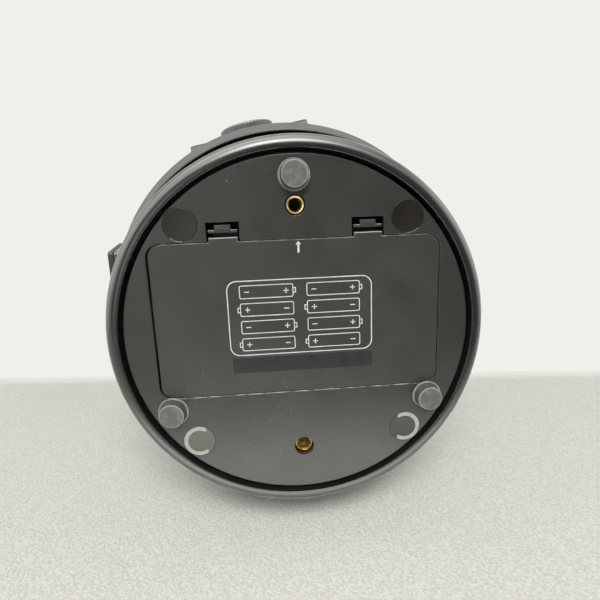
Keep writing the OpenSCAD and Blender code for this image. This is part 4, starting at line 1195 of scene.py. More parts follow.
    def rubber(self) -> None:
        """Turns the three feet, each with a lighter rounded rim that is a painted highlight, a darker side
        that is painted shade, and a pale lip in its recess.
        """
        pads = Build()
        edge = arc(self.foot_r - 0.65, 0.5, 0.5, -90, 0, 6)
        profile = [(0, 0.12), (3.0, 0.06)] + edge
        profile += [(self.foot_r, 4.95), (self.foot_r + 0.75, 5.1), (self.foot_r + 0.8, 5.6)]
        tags = [0, 0] + [1] * 5 + [2] * (len(profile) - 8)
        for x, y in self.feet():
            pads.place = Matrix.Translation((x, y, 0))
            pads.lathe(profile, 96, tags)
            # Thin pale rings in the recess: dust together with a painted highlight
            pads.lathe(arc(self.foot_ring - 0.12, self.plate_z + 0.12, 0.17, 0, 360, 12), 96, 3)
            pads.lathe(arc(self.foot_r + 0.42, 4.72, 0.14, 0, 360, 12), 96, 3)
        pads.piece("foot_pads", [FOOT_FACE, FOOT_EDGE_HIGHLIGHT, FOOT_SIDE_SHADE, LIP_DUST_AND_HIGHLIGHT], "base", "rubber_grey",
                   "rubber_feet")

    def inserts(self) -> None:
        """Cuts the two threaded inserts."""
        brass = Build()
        r, bore, z = self.insert_r, self.insert_bore, self.plate_z
        for y, mouth, funnel in ((self.insert_y, z + 0.25, 0.55), (-self.insert_y, z + 2.5, 1.6)):
            brass.place = Matrix.Translation((0, y, mouth))
            ring = [(r, 10, 0), (r, 0, 0.25), (r - 0.25, 0, 0.1), (bore + 0.3, funnel, 0.1),
                    (bore + 0.1, self.thread_start, 0)]
            brass.lathe(rounded(ring, 3, False), 96)
            self.thread(brass)
            # Near-black disc closing the bore: painted shade
            brass.lathe([(0, self.insert_floor), (r, self.insert_floor)], 72, 2)
        brass.piece("threaded_inserts", [BRASS, BRASS_THREAD_LIT, SOCKET_BLACK_AND_SHADE], "base", "brass",
                    "tripod_inserts", crease=60)

    def thread(self, brass: Build) -> None:
        """Cuts the thread of one insert.

        Args:
            brass: The piece to add it to, in place.
        """
        rings = []
        steps, around = 90, 72
        for k in range(steps + 1):
            z = self.thread_start + k * self.thread_length / steps
            widen = 0.1 * (1 - min(1.0, k / 3))
            loop: Loop = []
            for i in range(around):
                wave = abs(((z / self.thread_pitch - i / around) % 1.0) * 2 - 1)
                r = self.insert_bore + widen + self.thread_depth * wave * min(1.0, k / 6)
                loop.append((r * math.cos(math.tau * i / around), r * math.sin(math.tau * i / around)))
            rings.append(brass.level(loop, z))
        brass.skin(rings, 1)

    def scuffed(self, spots: Sequence[Vector]) -> bool:
        """Tells whether a face lies on the edge of an upper plug where a pale painted highlight goes, low
        and outwards.

        Known fault: the distance has no upper bound, so the outer edges of the lower plugs pass as well.

        Args:
            spots: Corners of the face.

        Returns:
            True for such a face.
        """
        x = sum(abs(p.x) for p in spots) / len(spots) - self.plug_at[0]
        y = sum(p.y for p in spots) / len(spots) - self.plug_at[1]
        rim = math.hypot(x, y) > self.plug_r - 0.25 and min(p.z for p in spots) < self.plate_z
        return rim and self.scuff[0] < math.degrees(math.atan2(y, x)) < self.scuff[1]

    def covers(self) -> None:
        """Turns the four dished plugs: the upper two in a darker copy, painted shade, the lower left in a
        lighter copy, painted sheen.
        """
        discs = Build()
        r, z = self.plug_r, self.plate_z
        profile = [(0, z + 0.22), (3, z + 0.18), (5.2, z + 0.08), (6.3, z - 0.02)]
        profile += rounded([(6.3, z - 0.02, 0), (r, z - 0.1, 0.22), (r, z + 0.8, 0)], 4, False)[1:]
        # Tones per plug: plain, painted shade, painted sheen, painted shade
        for (x, y), shade in zip(self.plugs(), (0, 1, 2, 1)):
            discs.place = Matrix.Translation((x, y, 0))
            discs.lathe(profile + [(0, z + 0.8)], 96, shade)
        # Edge faces that pass take the pale finish: a painted highlight
        for n, face in enumerate(discs.faces):
            if self.scuffed([discs.points[k] for k in face]):
                discs.tags[n] = 3
        discs.piece("plug_discs", [PLUG_PLASTIC, PLUG_PAINTED_SHADE, PLUG_PAINTED_SHEEN, LIP_DUST_AND_HIGHLIGHT], "base", "grey_plastic",
                    "screw_plugs")

    def scale(self) -> None:
        """Turns the azimuth scale and prints its degrees."""
        near, far, (low, high) = self.scale_in, self.scale_r, self.scale_z
        corners = [(near, low, 0.1), (far, low, 0.25), (far, high, 0.25), (near, high, 0.1)]
        ring = Build().lathe(rounded(corners, 3), 256, wrap=True)
        ring.piece("azimuth_scale", [DIAL_SILVER], "setting_circle", "dial_silver", "azimuth_circle")
        marks = Build()
        out = Matrix.Translation((far + 0.02, 0, 0)) @ Matrix.Rotation(math.pi / 2, 4, "Y")
        start = low + 0.3
        for step in range(120):
            marks.place = Matrix.Rotation(math.radians(step * 3), 4, "Z") @ out
            long = 2.6 if step % 5 == 0 else 1.5
            marks.stroke([(-start, 0), (-start - long, 0)], 0.22, 0)
        marks.piece("azimuth_marks", [DARK_INK], "setting_circle", "dial_silver")

    def build(self) -> None:
        """Builds the whole base."""
        self.drum()
        self.housing()
        self.plate()
        self.wells()
        self.rubber()
        self.inserts()
        self.covers()
        self.scale()


@dataclass
class BatteryLid:
    """The battery cover with its spring latches, hinge tongues and prints."""

    half: float = 61.7
    low: float = -26.8
    top: float = 40.6
    corner: float = 5.5
    z: float = 4.75
    thick: float = 2.2
    latch_x: float = 30.4
    tab: float = 42.5
    tab_half: float = 6.05
    spring: float = 1.2
    spring_end: float = 45.6
    spring_z: Point = (13.25, 14.45)
    thumb_half: float = 3.33
    ribs: int = 3
    tongue_x: float = 40.0
    tongue_half: float = 5.0
    print_x: float = -0.66
    lift: float = 0.012
    frame_half: float = 31.1
    cell_half: Point = (11.4, 2.75)
    cell_x: float = 14.4
    cell_y: float = 19.1
    cell_pitch: float = 7.75
    fine: float = 0.36
    bold: float = 0.42
    # Range of Y, greatest height and material number of each edge with a pale painted highlight
    rubbed: tuple[tuple[float, float, float, int], ...] = (
        (42.05, 42.55, 5.2, 1), (45.35, 45.65, 5.6, 1), (40.3, 40.65, 5.2, 2))

    def outline(self) -> Loop:
        """Outline of the cover with its two tabs.

        Returns:
            The loop.
        """
        r, half, low, top = self.corner, self.half, self.low, self.top
        loop = arc(-half + r, low + r, r, 180, 270, 8) + arc(half - r, low + r, r, 270, 360, 8)
        loop += arc(half - r, top - r, r, 0, 90, 8)
        w = self.tab_half
        for x in (self.latch_x, -self.latch_x):
            loop += [(x + w, top), (x + w, self.tab), (x - w, self.tab), (x - w, top)]
        return loop + arc(-half + r, top - r, r, 90, 180, 8)

    def latch(self, lid: Build, x: float) -> None:
        """Adds one spring latch: a bent strip with a ribbed thumb rest.

        Args:
            lid: The piece to add it to.
            x: Its middle.
        """
        wide = (x - self.tab_half, x + self.tab_half)
        root, end = self.tab - self.spring, self.spring_end
        low, high = self.spring_z
        lid.block(wide, (root, self.tab), (6.6, high), 0.2)
        lid.block(wide, (root, end), (low, high), 0.2)
        lid.block(wide, (end - self.spring, end), (5.35, high), 0.22)
        lid.block((x - self.thumb_half, x + self.thumb_half), (45.2, 47.6), (5.15, 6.75), 0.2)
        for k in range(self.ribs):
            lid.block((x - 2.9, x + 2.9), (45.95 + 0.5 * k, 46.2 + 0.5 * k), (5.05, 5.4), 0.1)

    def cover(self) -> None:
        """Builds the cover with its latches and tongues, and pale painted highlights on some edges."""
        lid = Build().plate(self.outline(), self.z, self.z + self.thick, 0.4, 0.15)
        for x in (self.latch_x, -self.latch_x):
            self.latch(lid, x)
        for x in (self.tongue_x, -self.tongue_x):
            wide = (x - self.tongue_half, x + self.tongue_half)
            lid.block(wide, (self.low, -25.6), (6.6, 8.7), 0.2)
            lid.block(wide, (-29.4, -25.6), (7.6, 8.7), 0.3)
        # Bevels of the tabs, the hook bars and the cover's top edge take pale finishes: painted highlights
        for n, face in enumerate(lid.faces):
            spots = [lid.points[k] for k in face]
            for low, high, deep, tag in self.rubbed:
                if all(low < p.y < high and p.z < deep for p in spots):
                    lid.tags[n] = tag
        lid.piece("battery_lid", [LID_PLASTIC, LIP_DUST_AND_HIGHLIGHT, PAINTED_LEDGE_HIGHLIGHT], "battery_door", "grey_plastic",
                  "battery_cover")

    def prints(self) -> None:
        """Prints the frame, the battery diagram, the arrow and the plain strip."""
        z, x = self.z - self.lift, self.print_x
        ink = Build()
        frame_box = (x - self.frame_half, x + self.frame_half, -8.9, 23.9)
        ink.stroke(box_loop(*frame_box, 4.0, 8), self.bold, z, closed=True)
        for row in range(4):
            for side in (-1, 1):
                self.cell(ink, x + side * self.cell_x, self.cell_y - row * self.cell_pitch, row % 2 == 0, z)
        ink.stroke([(x, 34.9), (x, 38.6)], 0.85, z)
        ink.face(ink.level([(x - 1.15, 38.3), (x + 1.15, 38.3), (x, 39.9)], z))
        ink.piece("cover_prints", [WHITE_INK], "battery_door", "grey_plastic")
        strip = Build()
        strip.face(strip.level(box_loop(-32.0, 30.0, -17.1, -10.2, 0.4, 3), z))
        strip.piece("plain_strip", [STRIP_BLACK], "battery_door", "grey_plastic")

    def cell(self, ink: Build, x: float, y: float, flip: bool, z: float) -> None:
        """Draws one cell of the battery diagram.

        Args:
            ink: The piece to draw on.
            x: Centre.
            y: Centre.
            flip: True where the cell's button points to the left.
            z: Height of the ink.
        """
        way = -1 if flip else 1
        wide, high = self.cell_half
        ink.stroke(box_loop(x - wide, x + wide, y - high, y + high, 0.7, 3), self.fine, z, closed=True)
        button = [(11.6, -1.0), (12.5, -1.0), (12.5, 1.0), (11.6, 1.0)]
        ink.stroke([(x + way * u, y + v) for u, v in button], self.fine, z)
        ink.stroke([(x + way * 7.3, y), (x + way * 9.5, y)], self.bold, z)
        ink.stroke([(x + way * 8.4, y - 1.1), (x + way * 8.4, y + 1.1)], self.bold, z)
        ink.stroke([(x - way * 7.3, y), (x - way * 9.5, y)], self.bold, z)

    def build(self) -> None:
        """Builds the whole cover."""
        self.cover()
        self.prints()


@dataclass
class ControlPanel:
    """The panel on the drum's side with its sockets, jack, lamp and switch."""

    face_x: float = 85.0
    thick: float = 2.5
    mid_z: float = 34.25
    half: Point = (37.0, 40.5)
    half_z: float = 9.25
    print_z: float = -0.02
    print_line: float = 0.24
    pin_pitch: float = 1.02
    # Place, width and height of the larger socket, and places of the smaller ones
    hand: tuple[float, float, float] = (-25.8, 14.0, 10.6)
    aux: tuple[float, float] = (3.4, -10.6)
    aux_size: Point = (11.6, 9.4)
    light_y: float = 12.0
    switch_y: float = 16.8
    jack_y: float = 27.8
    screw_y: float = 36.3

    def frame_at(self, y: float = 0.0) -> Matrix:
        """A frame on the panel's face whose own Z points into the drum."""
        return Matrix(((0, 0, -1, self.face_x), (-1, 0, 0, y), (0, 1, 0, self.mid_z), (0, 0, 0, 1)))

    def sockets(self) -> list[tuple[float, Point, Point]]:
        """Place, outside and inside of each data socket.

        Returns:
            The three, for the larger socket and then for the smaller ones.
        """
        big = (self.hand[0], (self.hand[1], self.hand[2]), (11.9, 8.2))
        return [big] + [(y, self.aux_size, (9.8, 6.8)) for y in self.aux]

    def panel(self) -> None:
        """Builds the panel with its openings."""
        low, top, z = *self.half, self.half_z
        shape = rounded([(-low, -z, 1.6), (low, -z, 1.6), (top, z, 1.6), (-top, z, 1.6)], 5)
        holes = [Hole(box_loop(-y - w / 2 - 0.1, -y + w / 2 + 0.1, -h / 2 - 0.1, h / 2 + 0.1, 0.5), 0.2)
                 for y, (w, h), _ in self.sockets()]
        holes.append(Hole(circle(-self.jack_y, 0, 4.65, 48), 0.25))
        holes.append(Hole(circle(-self.light_y, 0, 1.56, 32), 0.2))
        holes.append(Hole(box_loop(-self.switch_y - 5.3, -self.switch_y + 2.3, -1.8, 1.8, 0.4), 0.2))
        Build(self.frame_at()).plate(shape, 0, self.thick, 0.5, 0.2, holes).piece(
            "panel_plate", [PANEL_PLASTIC], "base", "black_plastic", "control_panel")

    def ports(self) -> None:
        """Builds the data sockets with their contacts, and the power jack."""
        body, pins = Build(), Build()
        for y, (w, h), (a, b) in self.sockets():
            body.place = pins.place = self.frame_at(y)
            slot = Hole(box_loop(-a / 2, a / 2, -b / 2, b / 2, 0.3), 0.25, 12.8)
            body.plate(box_loop(-w / 2, w / 2, -h / 2, h / 2, 0.4), 0.05, 15.0, 0.25, 0.2, [slot])
            count = 8 if a > 10 else 4
            for k in range(count):
                u = (k - (count - 1) / 2) * self.pin_pitch
                pins.block((u - 0.17, u + 0.17), (b / 2 - 0.9, b / 2 - 0.55), (1.6, 12.4), 0.08)
        body.piece("socket_bodies", [SOCKET_BLACK_AND_SHADE], "base", "black_plastic", "data_sockets")
        pins.piece("socket_pins", [CONTACT_GOLD], "base", "black_plastic")
        jack = Build(self.frame_at(self.jack_y))
        sleeve = [(0, 8.9, 0), (2.8, 8.9, 0), (2.8, -0.6, 0.3), (4.6, -0.6, 0.3), (4.6, 12, 0), (0, 12, 0)]
        jack.lathe(rounded(sleeve, 4, False), 64)
        jack.lathe([(0, 1.5), (0.7, 1.6), (1.0, 2.0), (1.0, 9.0)], 32, 1)
        jack.piece("power_inlet", [SOCKET_BLACK_AND_SHADE, STEEL], "base", "black_plastic", "power_jack")

    def controls(self) -> None:
        """Builds the lamp, the ribbed slide and the end screws."""
        lamp = Build(self.frame_at(self.light_y))
        lamp.lathe(arc(0, 0, 1.5, -90, 0, 8) + [(1.5, 10), (0, 10)], 32)
        lamp.piece("lamp_dome", [RED_LAMP], "base", "red_light", "power_light")
        slide = Build(self.frame_at(self.switch_y))
        slide.block((-2, 2), (-1.5, 1.5), (-1.3, 4.8), 0.25)
        slide.block((-2.7, 2.7), (-2.2, 2.2), (3.0, 5.0), 0.1)
        for k in range(4):
            slide.block((-1.65 + k * 0.95, -1.2 + k * 0.95), (-1.4, 1.4), (-1.75, -1.0), 0.15)
        slide.piece("switch_slide", [BLACK_PLASTIC], "switch", "black_plastic", "power_switch")
        screws = Build()
        head = [(0, -0.5, 0), (0.9, -0.5, 0), (0.9, -1.15, 0), (2.2, -0.9, 0.4), (2.2, 0, 0), (0, 0, 0)]
        for s in (-1, 1):
            screws.place = self.frame_at(s * self.screw_y)
            screws.lathe(rounded(head, 4, False), 40)
        screws.piece("panel_screw_heads", [STEEL], "base", "steel", "panel_screws")

    def prints(self) -> None:
        """Prints ON and OFF, and a fine frame around each socket and the jack."""
        z, line = self.print_z, self.print_line
        marks = Build(self.frame_at(self.switch_y))
        marks.digits("OFF", 0, 4.6, 1.9, 0.26, z)
        marks.digits("ON", -4.6, -4.6, 1.9, 0.26, z)
        for y, (w, h), _ in self.sockets():
            marks.place = self.frame_at(y)
            marks.stroke(box_loop(-w / 2 - 1, w / 2 + 1, -h / 2 - 1, h / 2 + 1, 1, 4), line, z, closed=True)
        marks.place = self.frame_at(self.jack_y)
        marks.stroke(circle(0, 0, 6.0, 48), line, z, closed=True)
        marks.piece("panel_prints", [WHITE_INK], "base", "black_plastic")

    def build(self) -> None:
        """Builds the whole panel."""
        self.panel()
        self.ports()
        self.controls()
        self.prints()


@dataclass
class ForkMount:
    """The turntable with the fork arms, their knob, dial and lock lever."""

    # Radius and height of the skirt's lip
    skirt_low: Point = (93.1, 51.5)
    skirt_top: float = 100.15
    top_z: float = 74.0
    edge: float = 3.3
    arm_in: float = 62.0
    arm_out: float = 99.0
    cover_t: float = 3.0
    half: float = 33.5
    # Where an arm's foot begins to slope, how far it runs and how far it rises
    foot_slope: tuple[float, float, float] = (96.0, 3.0, 6.0)
    axis_z: float = 188.0
    crown: float = 33.0
    knob_r: float = 21.3
    knob_y: float = 102.8
    knob_len: float = 21.2
    bushing_r: float = 10.55
    dial_r: float = 31.0
    dial_y: float = -99.3
    dial_face: float = 2.7
    ink_z: float = 2.72
    lever_x: float = 80.15
    lever_reach: float = 20.0
    lever_z: Point = (74.3, 80.0)
    pivot_r: float = 4.0

    def turntable(self) -> None:
        """Turns the table with its flared skirt."""
        r, z = self.skirt_low
        top, e = self.skirt_top, self.edge
        corners = [(r - 0.7, z, 0.2), (r, z, 0.3), (top, self.top_z - e, 6), (top, self.top_z, e),
                   (13.0, self.top_z, 0.3), (13.0, 51.9, 0), (24.0, 51.9, 0), (24.0, 71.0, 0),
                   (top - 5, 71.0, 1.0)]
        table = Build().lathe(rounded(corners, 7), 256, wrap=True)
        table.place = on_fork(self.lever_x)
        pivot = [(self.pivot_r, 73.0, 0), (self.pivot_r, 81.4, 0.6), (0, 81.4, 0)]
        table.lathe(rounded(pivot, 4, False), 40)
        table.piece("turntable_skirt", [SKIRT_PLASTIC], "fork", "black_plastic", "turntable")

    def outline(self, inset: float, floor: float) -> Loop:
        """Outline of an arm in X and Z.

        Args:
            inset: Distance inside the full outline.
            floor: Height of its foot.

        Returns:
            The loop, with the same number of points for every inset.
        """
        half, r, low = self.half - inset, self.crown - inset, self.top_z
        far = math.hypot(half, low - self.axis_z)
        start = math.degrees(math.atan2(low - self.axis_z, half) + math.acos(r / far))
        loop = arc(0, self.axis_z, r, start, 180 - start, 48)
        first = loop[0]
        rise = max(floor, low + inset * 0.2)
        share = (rise - low) / (first[1] - low)
        foot = half + (first[0] - half) * share
        steps = 12
        right = [(foot + (first[0] - foot) * k / steps, rise + (first[1] - rise) * k / steps)
                 for k in range(steps)]
        left = [(-x, y) for x, y in reversed(right)]
        return right + loop + left

    def arm(self, side: int, name: str, node: str) -> None:
        """Lofts one arm with a rounded outer edge and a sloping foot.

        Args:
            side: 1 for the arm with the knob, -1 for the other.
            name: The piece's name.
            node: The CAD node that it stands for.
        """
        arm = Build(on_fork())
        inner, r = self.arm_in + self.cover_t, 1.2
        straight = self.arm_out - r
        stations = [(inner, 0.35), (inner + 0.15, 0.12), (inner + 0.4, 0.0)]
        stations += [(inner + (straight - inner) * k / 4, 0.0) for k in (1, 2, 3, 4)]
        turns = [math.pi / 16 * k for k in range(1, 9)]
        stations += [(straight + r * math.sin(a), r * (1 - math.cos(a))) for a in turns]
        begin, run, rise = self.foot_slope
        rings = []
        for y, inset in stations:
            floor = self.top_z + max(0.0, (y - begin) / run * rise)
            rings.append(arm.ring((x, side * y, z) for x, z in self.outline(inset, floor)))
        arm.skin(rings)
        arm.face(rings[0])
        arm.face(rings[-1])
        if side > 0:
            arm.place = on_fork(0, self.arm_out - 0.3, self.axis_z, Way.SIDE)
            collar = [(22.8, 0, 0), (22.8, 3.8, 0.8), (10.6, 3.8, 0.2), (10.6, -2, 0)]
            arm.lathe(rounded(collar, 5, False), 128)
        arm.piece(name, [BLACK_PLASTIC], "fork", "black_plastic", node, crease=40)

    def inner_covers(self) -> None:
        """Builds the inner covers of both arms."""
        covers = Build()
        face, back = self.arm_in, self.arm_in + self.cover_t - 0.15
        bore = Hole(circle(0, self.axis_z, self.bushing_r, 64), 0.3)
        for side in (-1, 1):
            covers.place = on_fork() @ Matrix(((1, 0, 0, 0), (0, 0, side, 0), (0, 1, 0, 0), (0, 0, 0, 1)))
            covers.plate(self.outline(0.0, self.top_z), face, back, 0.7, 0.3, [bore])
        covers.piece("arm_inner_covers", [BLACK_PLASTIC], "fork", "black_plastic", "arm_covers", crease=40)

    def knob(self) -> None:
        """Builds the fluted altitude lock knob."""
        knob = Build(on_fork(0, self.knob_y, self.axis_z, Way.SIDE))
        r, end, e = self.knob_r, self.knob_len, 1.9
        turns = [math.pi / 16 * k for k in range(9)]
        top = [(e * (1 - math.cos(a)), end - e * (1 - math.sin(a))) for a in turns]
        profile = [(r, 0.4), (r - 4.2, 0.4), (0.9, 0), (0.3, 0.25), (0, 0.8)] + top
        profile += [(4.2, end - 0.02), (4.8, end - 0.5), (r - 6, end - 0.75), (r, end - 0.8)]
        knob.fluted(r, 72, 0.55, profile)
        knob.piece("lock_knob", [GRIP_PLASTIC], "altitude_lock", "black_plastic", "altitude_lock_knob",
                   crease=50)

    def dial(self) -> None:
        """Turns the declination dial and prints its degrees."""
        place = on_fork(0, self.dial_y, self.axis_z, Way.OTHER_SIDE)
        r, top = self.dial_r, self.dial_face
        corners = [(4.1, 0, 0), (r, 0, 0.3), (r, top, 0.5), (r - 7.5, top, 0.1), (r - 8, 2.35, 0.1),
                   (4.1, 2.35, 0.2)]
        dial = Build(place).lathe(rounded(corners, 4), 160, wrap=True)
        dial.piece("declination_dial", [DIAL_SILVER], "tube", "dial_silver", "declination_circle")
        marks = Build(place)
        outer, spot = r - 0.8, r - 5.4
        for step in range(72):
            degrees = step * 5
            x, y = math.cos(math.radians(degrees)), math.sin(math.radians(degrees))
            inner = r - (3.4 if step % 2 == 0 else 2.2)
            marks.stroke([(inner * x, inner * y), (outer * x, outer * y)], 0.24, self.ink_z)
            if step % 6 == 0:
                value = abs(90 - degrees % 180)
                marks.digits(str(value), spot * x, spot * y, 2.3, 0.28, self.ink_z, degrees - 90)
        marks.piece("declination_marks", [DARK_INK], "tube", "dial_silver")
        tip = Build(place).lathe(rounded([(10.5, 2.3, 0), (10.5, 2.66, 0.2), (0, 2.66, 0)], 3, False), 64)
        tip.piece("dial_hub", [BLACK_PAINT], "tube", "black_metal")

    def lever(self) -> None:
        """Builds the azimuth lock lever."""
        lever = Build(on_fork(self.lever_x))
        reach, (low, high) = self.lever_reach, self.lever_z
        arm = arc(0, 0, 9, 34, 326, 28) + arc(reach, 0, 5, -90, 90, 14)
        hole = Hole(circle(0, 0, self.pivot_r + 0.05, 40), 0.3)
        lever.plate(arm, low, high, 0.3, 1.2, [hole])
        lever.place = on_fork(self.lever_x + reach)
        lever.lathe(rounded([(4.7, high - 2, 0), (4.7, high + 3, 1.4), (0, high + 3, 0)], 6, False), 48)
        lever.piece("lock_lever", [KNOB_PLASTIC], "azimuth_lock", "black_plastic", "azimuth_lock_lever")

    def build(self) -> None:
        """Builds the whole mount."""
        self.turntable()
        self.arm(1, "right_arm_shell", "right_fork_arm")
        self.arm(-1, "left_arm_shell", "left_fork_arm")
        self.inner_covers()
        self.knob()
        self.dial()
        self.lever()


@dataclass
class OpticalTube:
    """The main tube with its cells, lens, eyepiece and knobs."""

    tube_r: float = 51.5
    bore_r: float = 50.0
    spigot_r: float = 49.9
    cell_r: float = 52.0
    back_z: float = 102.0
    rear_z: float = 156.0
    front_z: float = 358.0
    end_z: float = 381.0
    lens_r: float = 46.5
    lens_edge: float = 372.0
    lens_curve: float = 130.0
    lens_t: float = 10.0
    port_z: float = 128.0
    port_r: float = 19.525
    port_end: float = 76.0
    holder_bore: float = 15.95
    eye_r: float = 17.5
    eye_barrel: float = 15.87
    eye_start: float = 47.0
    eye_end: float = 114.0
    thumb_at: tuple[float, float, float] = (67.0, 0.0, 147.83)
    flip_at: tuple[float, float, float] = (-17.0, -51.8, 145.0)
    cap_z: float = 93.2
    focus_z: float = 86.7
    focus_circle: float = 35.4
    focus_turn: float = 133.0

    def barrel(self) -> None:
        """Turns the main tube."""
        r, bore, low, high = self.tube_r, self.bore_r, self.rear_z, self.front_z
        corners = [(bore, low, 0), (r, low, 0.3), (r, high, 0.3), (bore, high, 0)]
        tube = Build(on_fork()).lathe(rounded(corners, 3), 256, [0] * 9 + [1], wrap=True)
        tube.piece("tube_barrel", [TUBE_BLUE, FLAT_BLACK], "tube", "tube_blue", "main_tube")

    def groove(self, low: float, deep: float, flank: float, width: float, edge: float) -> list[Corner]:
        """Corners of a groove around a cell.

        Args:
            low: Height of its lower edge.
            deep: Its depth.
            flank: Height of each sloping flank.
            width: Its whole width.
            edge: Rounding of its edges.

        Returns:
            Radius, height and rounding of each corner.
        """
        r, floor = self.cell_r, self.cell_r - deep
        return [(r, low, edge), (floor, low + flank, 0.2), (floor, low + width - flank, 0.2),
                (r, low + width, edge)]

    def cells(self) -> None:
        """Turns the rear and front cells with their grooves."""
        r, z, spigot = self.cell_r, self.back_z, self.spigot_r
        rear = [(20.1, z, 0.3), (r - 0.1, z, 3.0)]
        for low in (109, 150):
            rear += self.groove(low, 0.7, 0.6, 2.2, 0.3)
        rear += [(r, self.rear_z, 0.5), (spigot, self.rear_z, 0), (spigot, 166, 0.3), (47, 166, 0),
                 (47, 160, 0), (11.5, 160, 0), (11.5, 156, 0), (48, 156, 0), (48, z + 3, 0),
                 (20.1, z + 3, 0)]
        Build(on_fork()).lathe(rounded(rear, 5), 192, wrap=True).piece(
            "rear_housing", [BLACK_PAINT], "tube", "black_metal", "rear_cell")
        f, e = self.front_z, self.end_z
        front = [(44.5, f - 10, 0), (spigot, f - 10, 0.3), (spigot, f, 0), (r, f, 0.5)]
        for k in range(3):
            front += self.groove(f + 4.0 + 4.2 * k, 0.6, 0.5, 1.8, 0.25)
        front += [(r, e, 1.5), (48.5, e, 0.5), (48.5, 374.6, 0.2), (46.6, 374.6, 0.2), (45.2, 374.2, 0.2),
                  (45.2, 372.4, 0.2), (44.5, 372.3, 0), (44.5, 366, 0)]
        shape = rounded(front, 4)
        tags = [int(x < 49 and y > 371) for x, y in shape]
        Build(on_fork()).lathe(shape, 192, tags, wrap=True).piece(
            "front_housing", [BLACK_PAINT, FLAT_BLACK], "tube", "black_metal", "front_cell")

    def lens(self) -> None:
        """Grinds the meniscus."""
        front, steps = self.lens_curve, 24
        back = front + self.lens_t
        centre = self.lens_edge + math.sqrt(front ** 2 - self.lens_r ** 2)
        radii = [self.lens_r * k / steps for k in range(steps + 1)]
        face = [(x, centre - math.sqrt(front ** 2 - x ** 2)) for x in radii]
        rear = [(x, centre - math.sqrt(back ** 2 - x ** 2)) for x in reversed(radii)]
        lens = Build(on_fork()).lathe(face + rear, 160)
        lens.piece("meniscus", [GLASS], "tube", "glass", "corrector_lens")

    def holder(self) -> None:
        """Turns the eyepiece holder."""
        r, bore, end = self.port_r, self.holder_bore, self.port_end
        corners = [(bore, 45, 0), (21.9, 45, 0), (21.9, 55, 0.8), (r, 55.2, 0.6), (r, 60.0, 0.3),
                   (r - 0.5, 60.5, 0.2), (r - 0.5, 61.5, 0.2), (r, 62.0, 0.3), (r, end, 0.8),
                   (bore, end, 0.5)]
        holder = Build(on_fork(0, 0, self.port_z, Way.ACROSS)).lathe(rounded(corners, 4), 128, wrap=True)
        holder.piece("eye_holder", [BLACK_PAINT], "tube", "black_metal", "eyepiece_holder")

    def eyepiece(self) -> None:
        """Turns the eyepiece with its rubber grip."""
        eye = Build(on_fork(0, 0, self.port_z, Way.ACROSS))
        r, barrel, low, end = self.eye_r, self.eye_barrel, self.eye_start, self.eye_end
        start, eye_z = self.port_end + 0.3, end - 9.2
        eye.lathe(rounded([(13.9, low, 0), (barrel, low, 0.3), (barrel, start + 0.1, 0)], 3, False), 96, 1)
        collar = [(barrel, start, 0), (r, start, 0.8), (r, start + 5.0, 0.4), (r - 0.9, start + 5.6, 0.2)]
        eye.lathe(rounded(collar, 4, False), 128)
        ribs = [(0.9, 5.6), (0.5, 6.2), (0.1, 6.8), (0.0, 8), (0.0, 21), (0.1, 22.2), (0.5, 22.8),
                (0.9, 23.4)]
        eye.fluted(r - 0.05, 60, 0.55, [(inset, start + z) for inset, z in ribs], 2)
        cup = [(r - 0.9, start + 23.4, 0.2), (r, start + 24.2, 0.4), (r, end - 9, 0.6),
               (r - 1.5, end - 8, 0.5), (r - 3.0, end, 1.2), (11.0, end, 1.2), (9.0, end - 9, 0.4),
               (7.6, eye_z, 0.2)]
        eye.lathe(rounded(cup, 4, False), 128, 2)
        eye.lathe([(7.6, eye_z), (4, end - 9.7), (0, end - 9.85)], 64, 3)
        eye.lathe([(13.9, low), (12.9, 48.5), (0, 48.7)], 64, 3)
        eye.piece("eyepiece_body", [BLACK_PAINT, STEEL, BLACK_RUBBER, LENS_BLOOM], "eyepiece", "black_metal",
                  "eyepiece", crease=45)

    def knobs(self) -> None:
        """Builds the thumbscrew, the port with its cap, and the focus and flip knobs."""
        thumb = Build(on_fork(*self.thumb_at))
        thumb.lathe([(0, -3.4), (1.5, -3.4), (1.5, 0.2)], 32)
        head = [(5.0, 0), (0.5, 0), (0, 0.5), (0, 7.4), (0.5, 7.95), (3.4, 7.95), (3.6, 7.7), (5.0, 7.7)]
        thumb.fluted(5.0, 16, 0.6, head)
        thumb.piece("thumbscrew", [STEEL], "eyepiece_lock", "steel", "eyepiece_screw", crease=45)
        ring = [(17.5, 96, 0.3), (20, 96, 0.4), (20, 105, 0), (22, 105, 0), (22, 107, 0), (17.5, 107, 0)]
        port = Build(on_fork()).lathe(rounded(ring, 3), 96, wrap=True)
        port.piece("port_ring", [BLACK_PAINT], "tube", "black_metal", "photo_port")
        cap = Build(on_fork(0, 0, self.cap_z))
        cup = [(22.0, 0.35), (6.0, 0.35), (5.6, 0.05), (0.9, 0), (0.3, 0.3), (0, 0.9), (0, 7.5), (0.4, 8.0),
               (1.9, 8.0), (1.95, 2.6), (22.0, 2.6)]
        cap.fluted(22.0, 40, 0.6, cup)
        cap.piece("port_cap", [KNOB_PLASTIC], "cap", "black_plastic", "photo_port_cap", crease=45)
        turn, far = math.radians(self.focus_turn), self.focus_circle
        focus = Build(on_fork(far * math.cos(turn), far * math.sin(turn), self.focus_z))
        grip = [(8.0, 0.25), (3.0, 0.25), (2.6, 0), (1.0, 0), (0.3, 0.3), (0, 1.0), (0, 14.3), (0.5, 14.95),
                (8.0, 14.95)]
        focus.fluted(8.0, 24, 0.7, grip)
        focus.lathe([(2.0, 14.9), (2.0, 80)], 32, 1)
        focus.piece("focus_grip", [BLACK_PAINT, STEEL], "focuser", "black_metal", "focus_knob", crease=45)
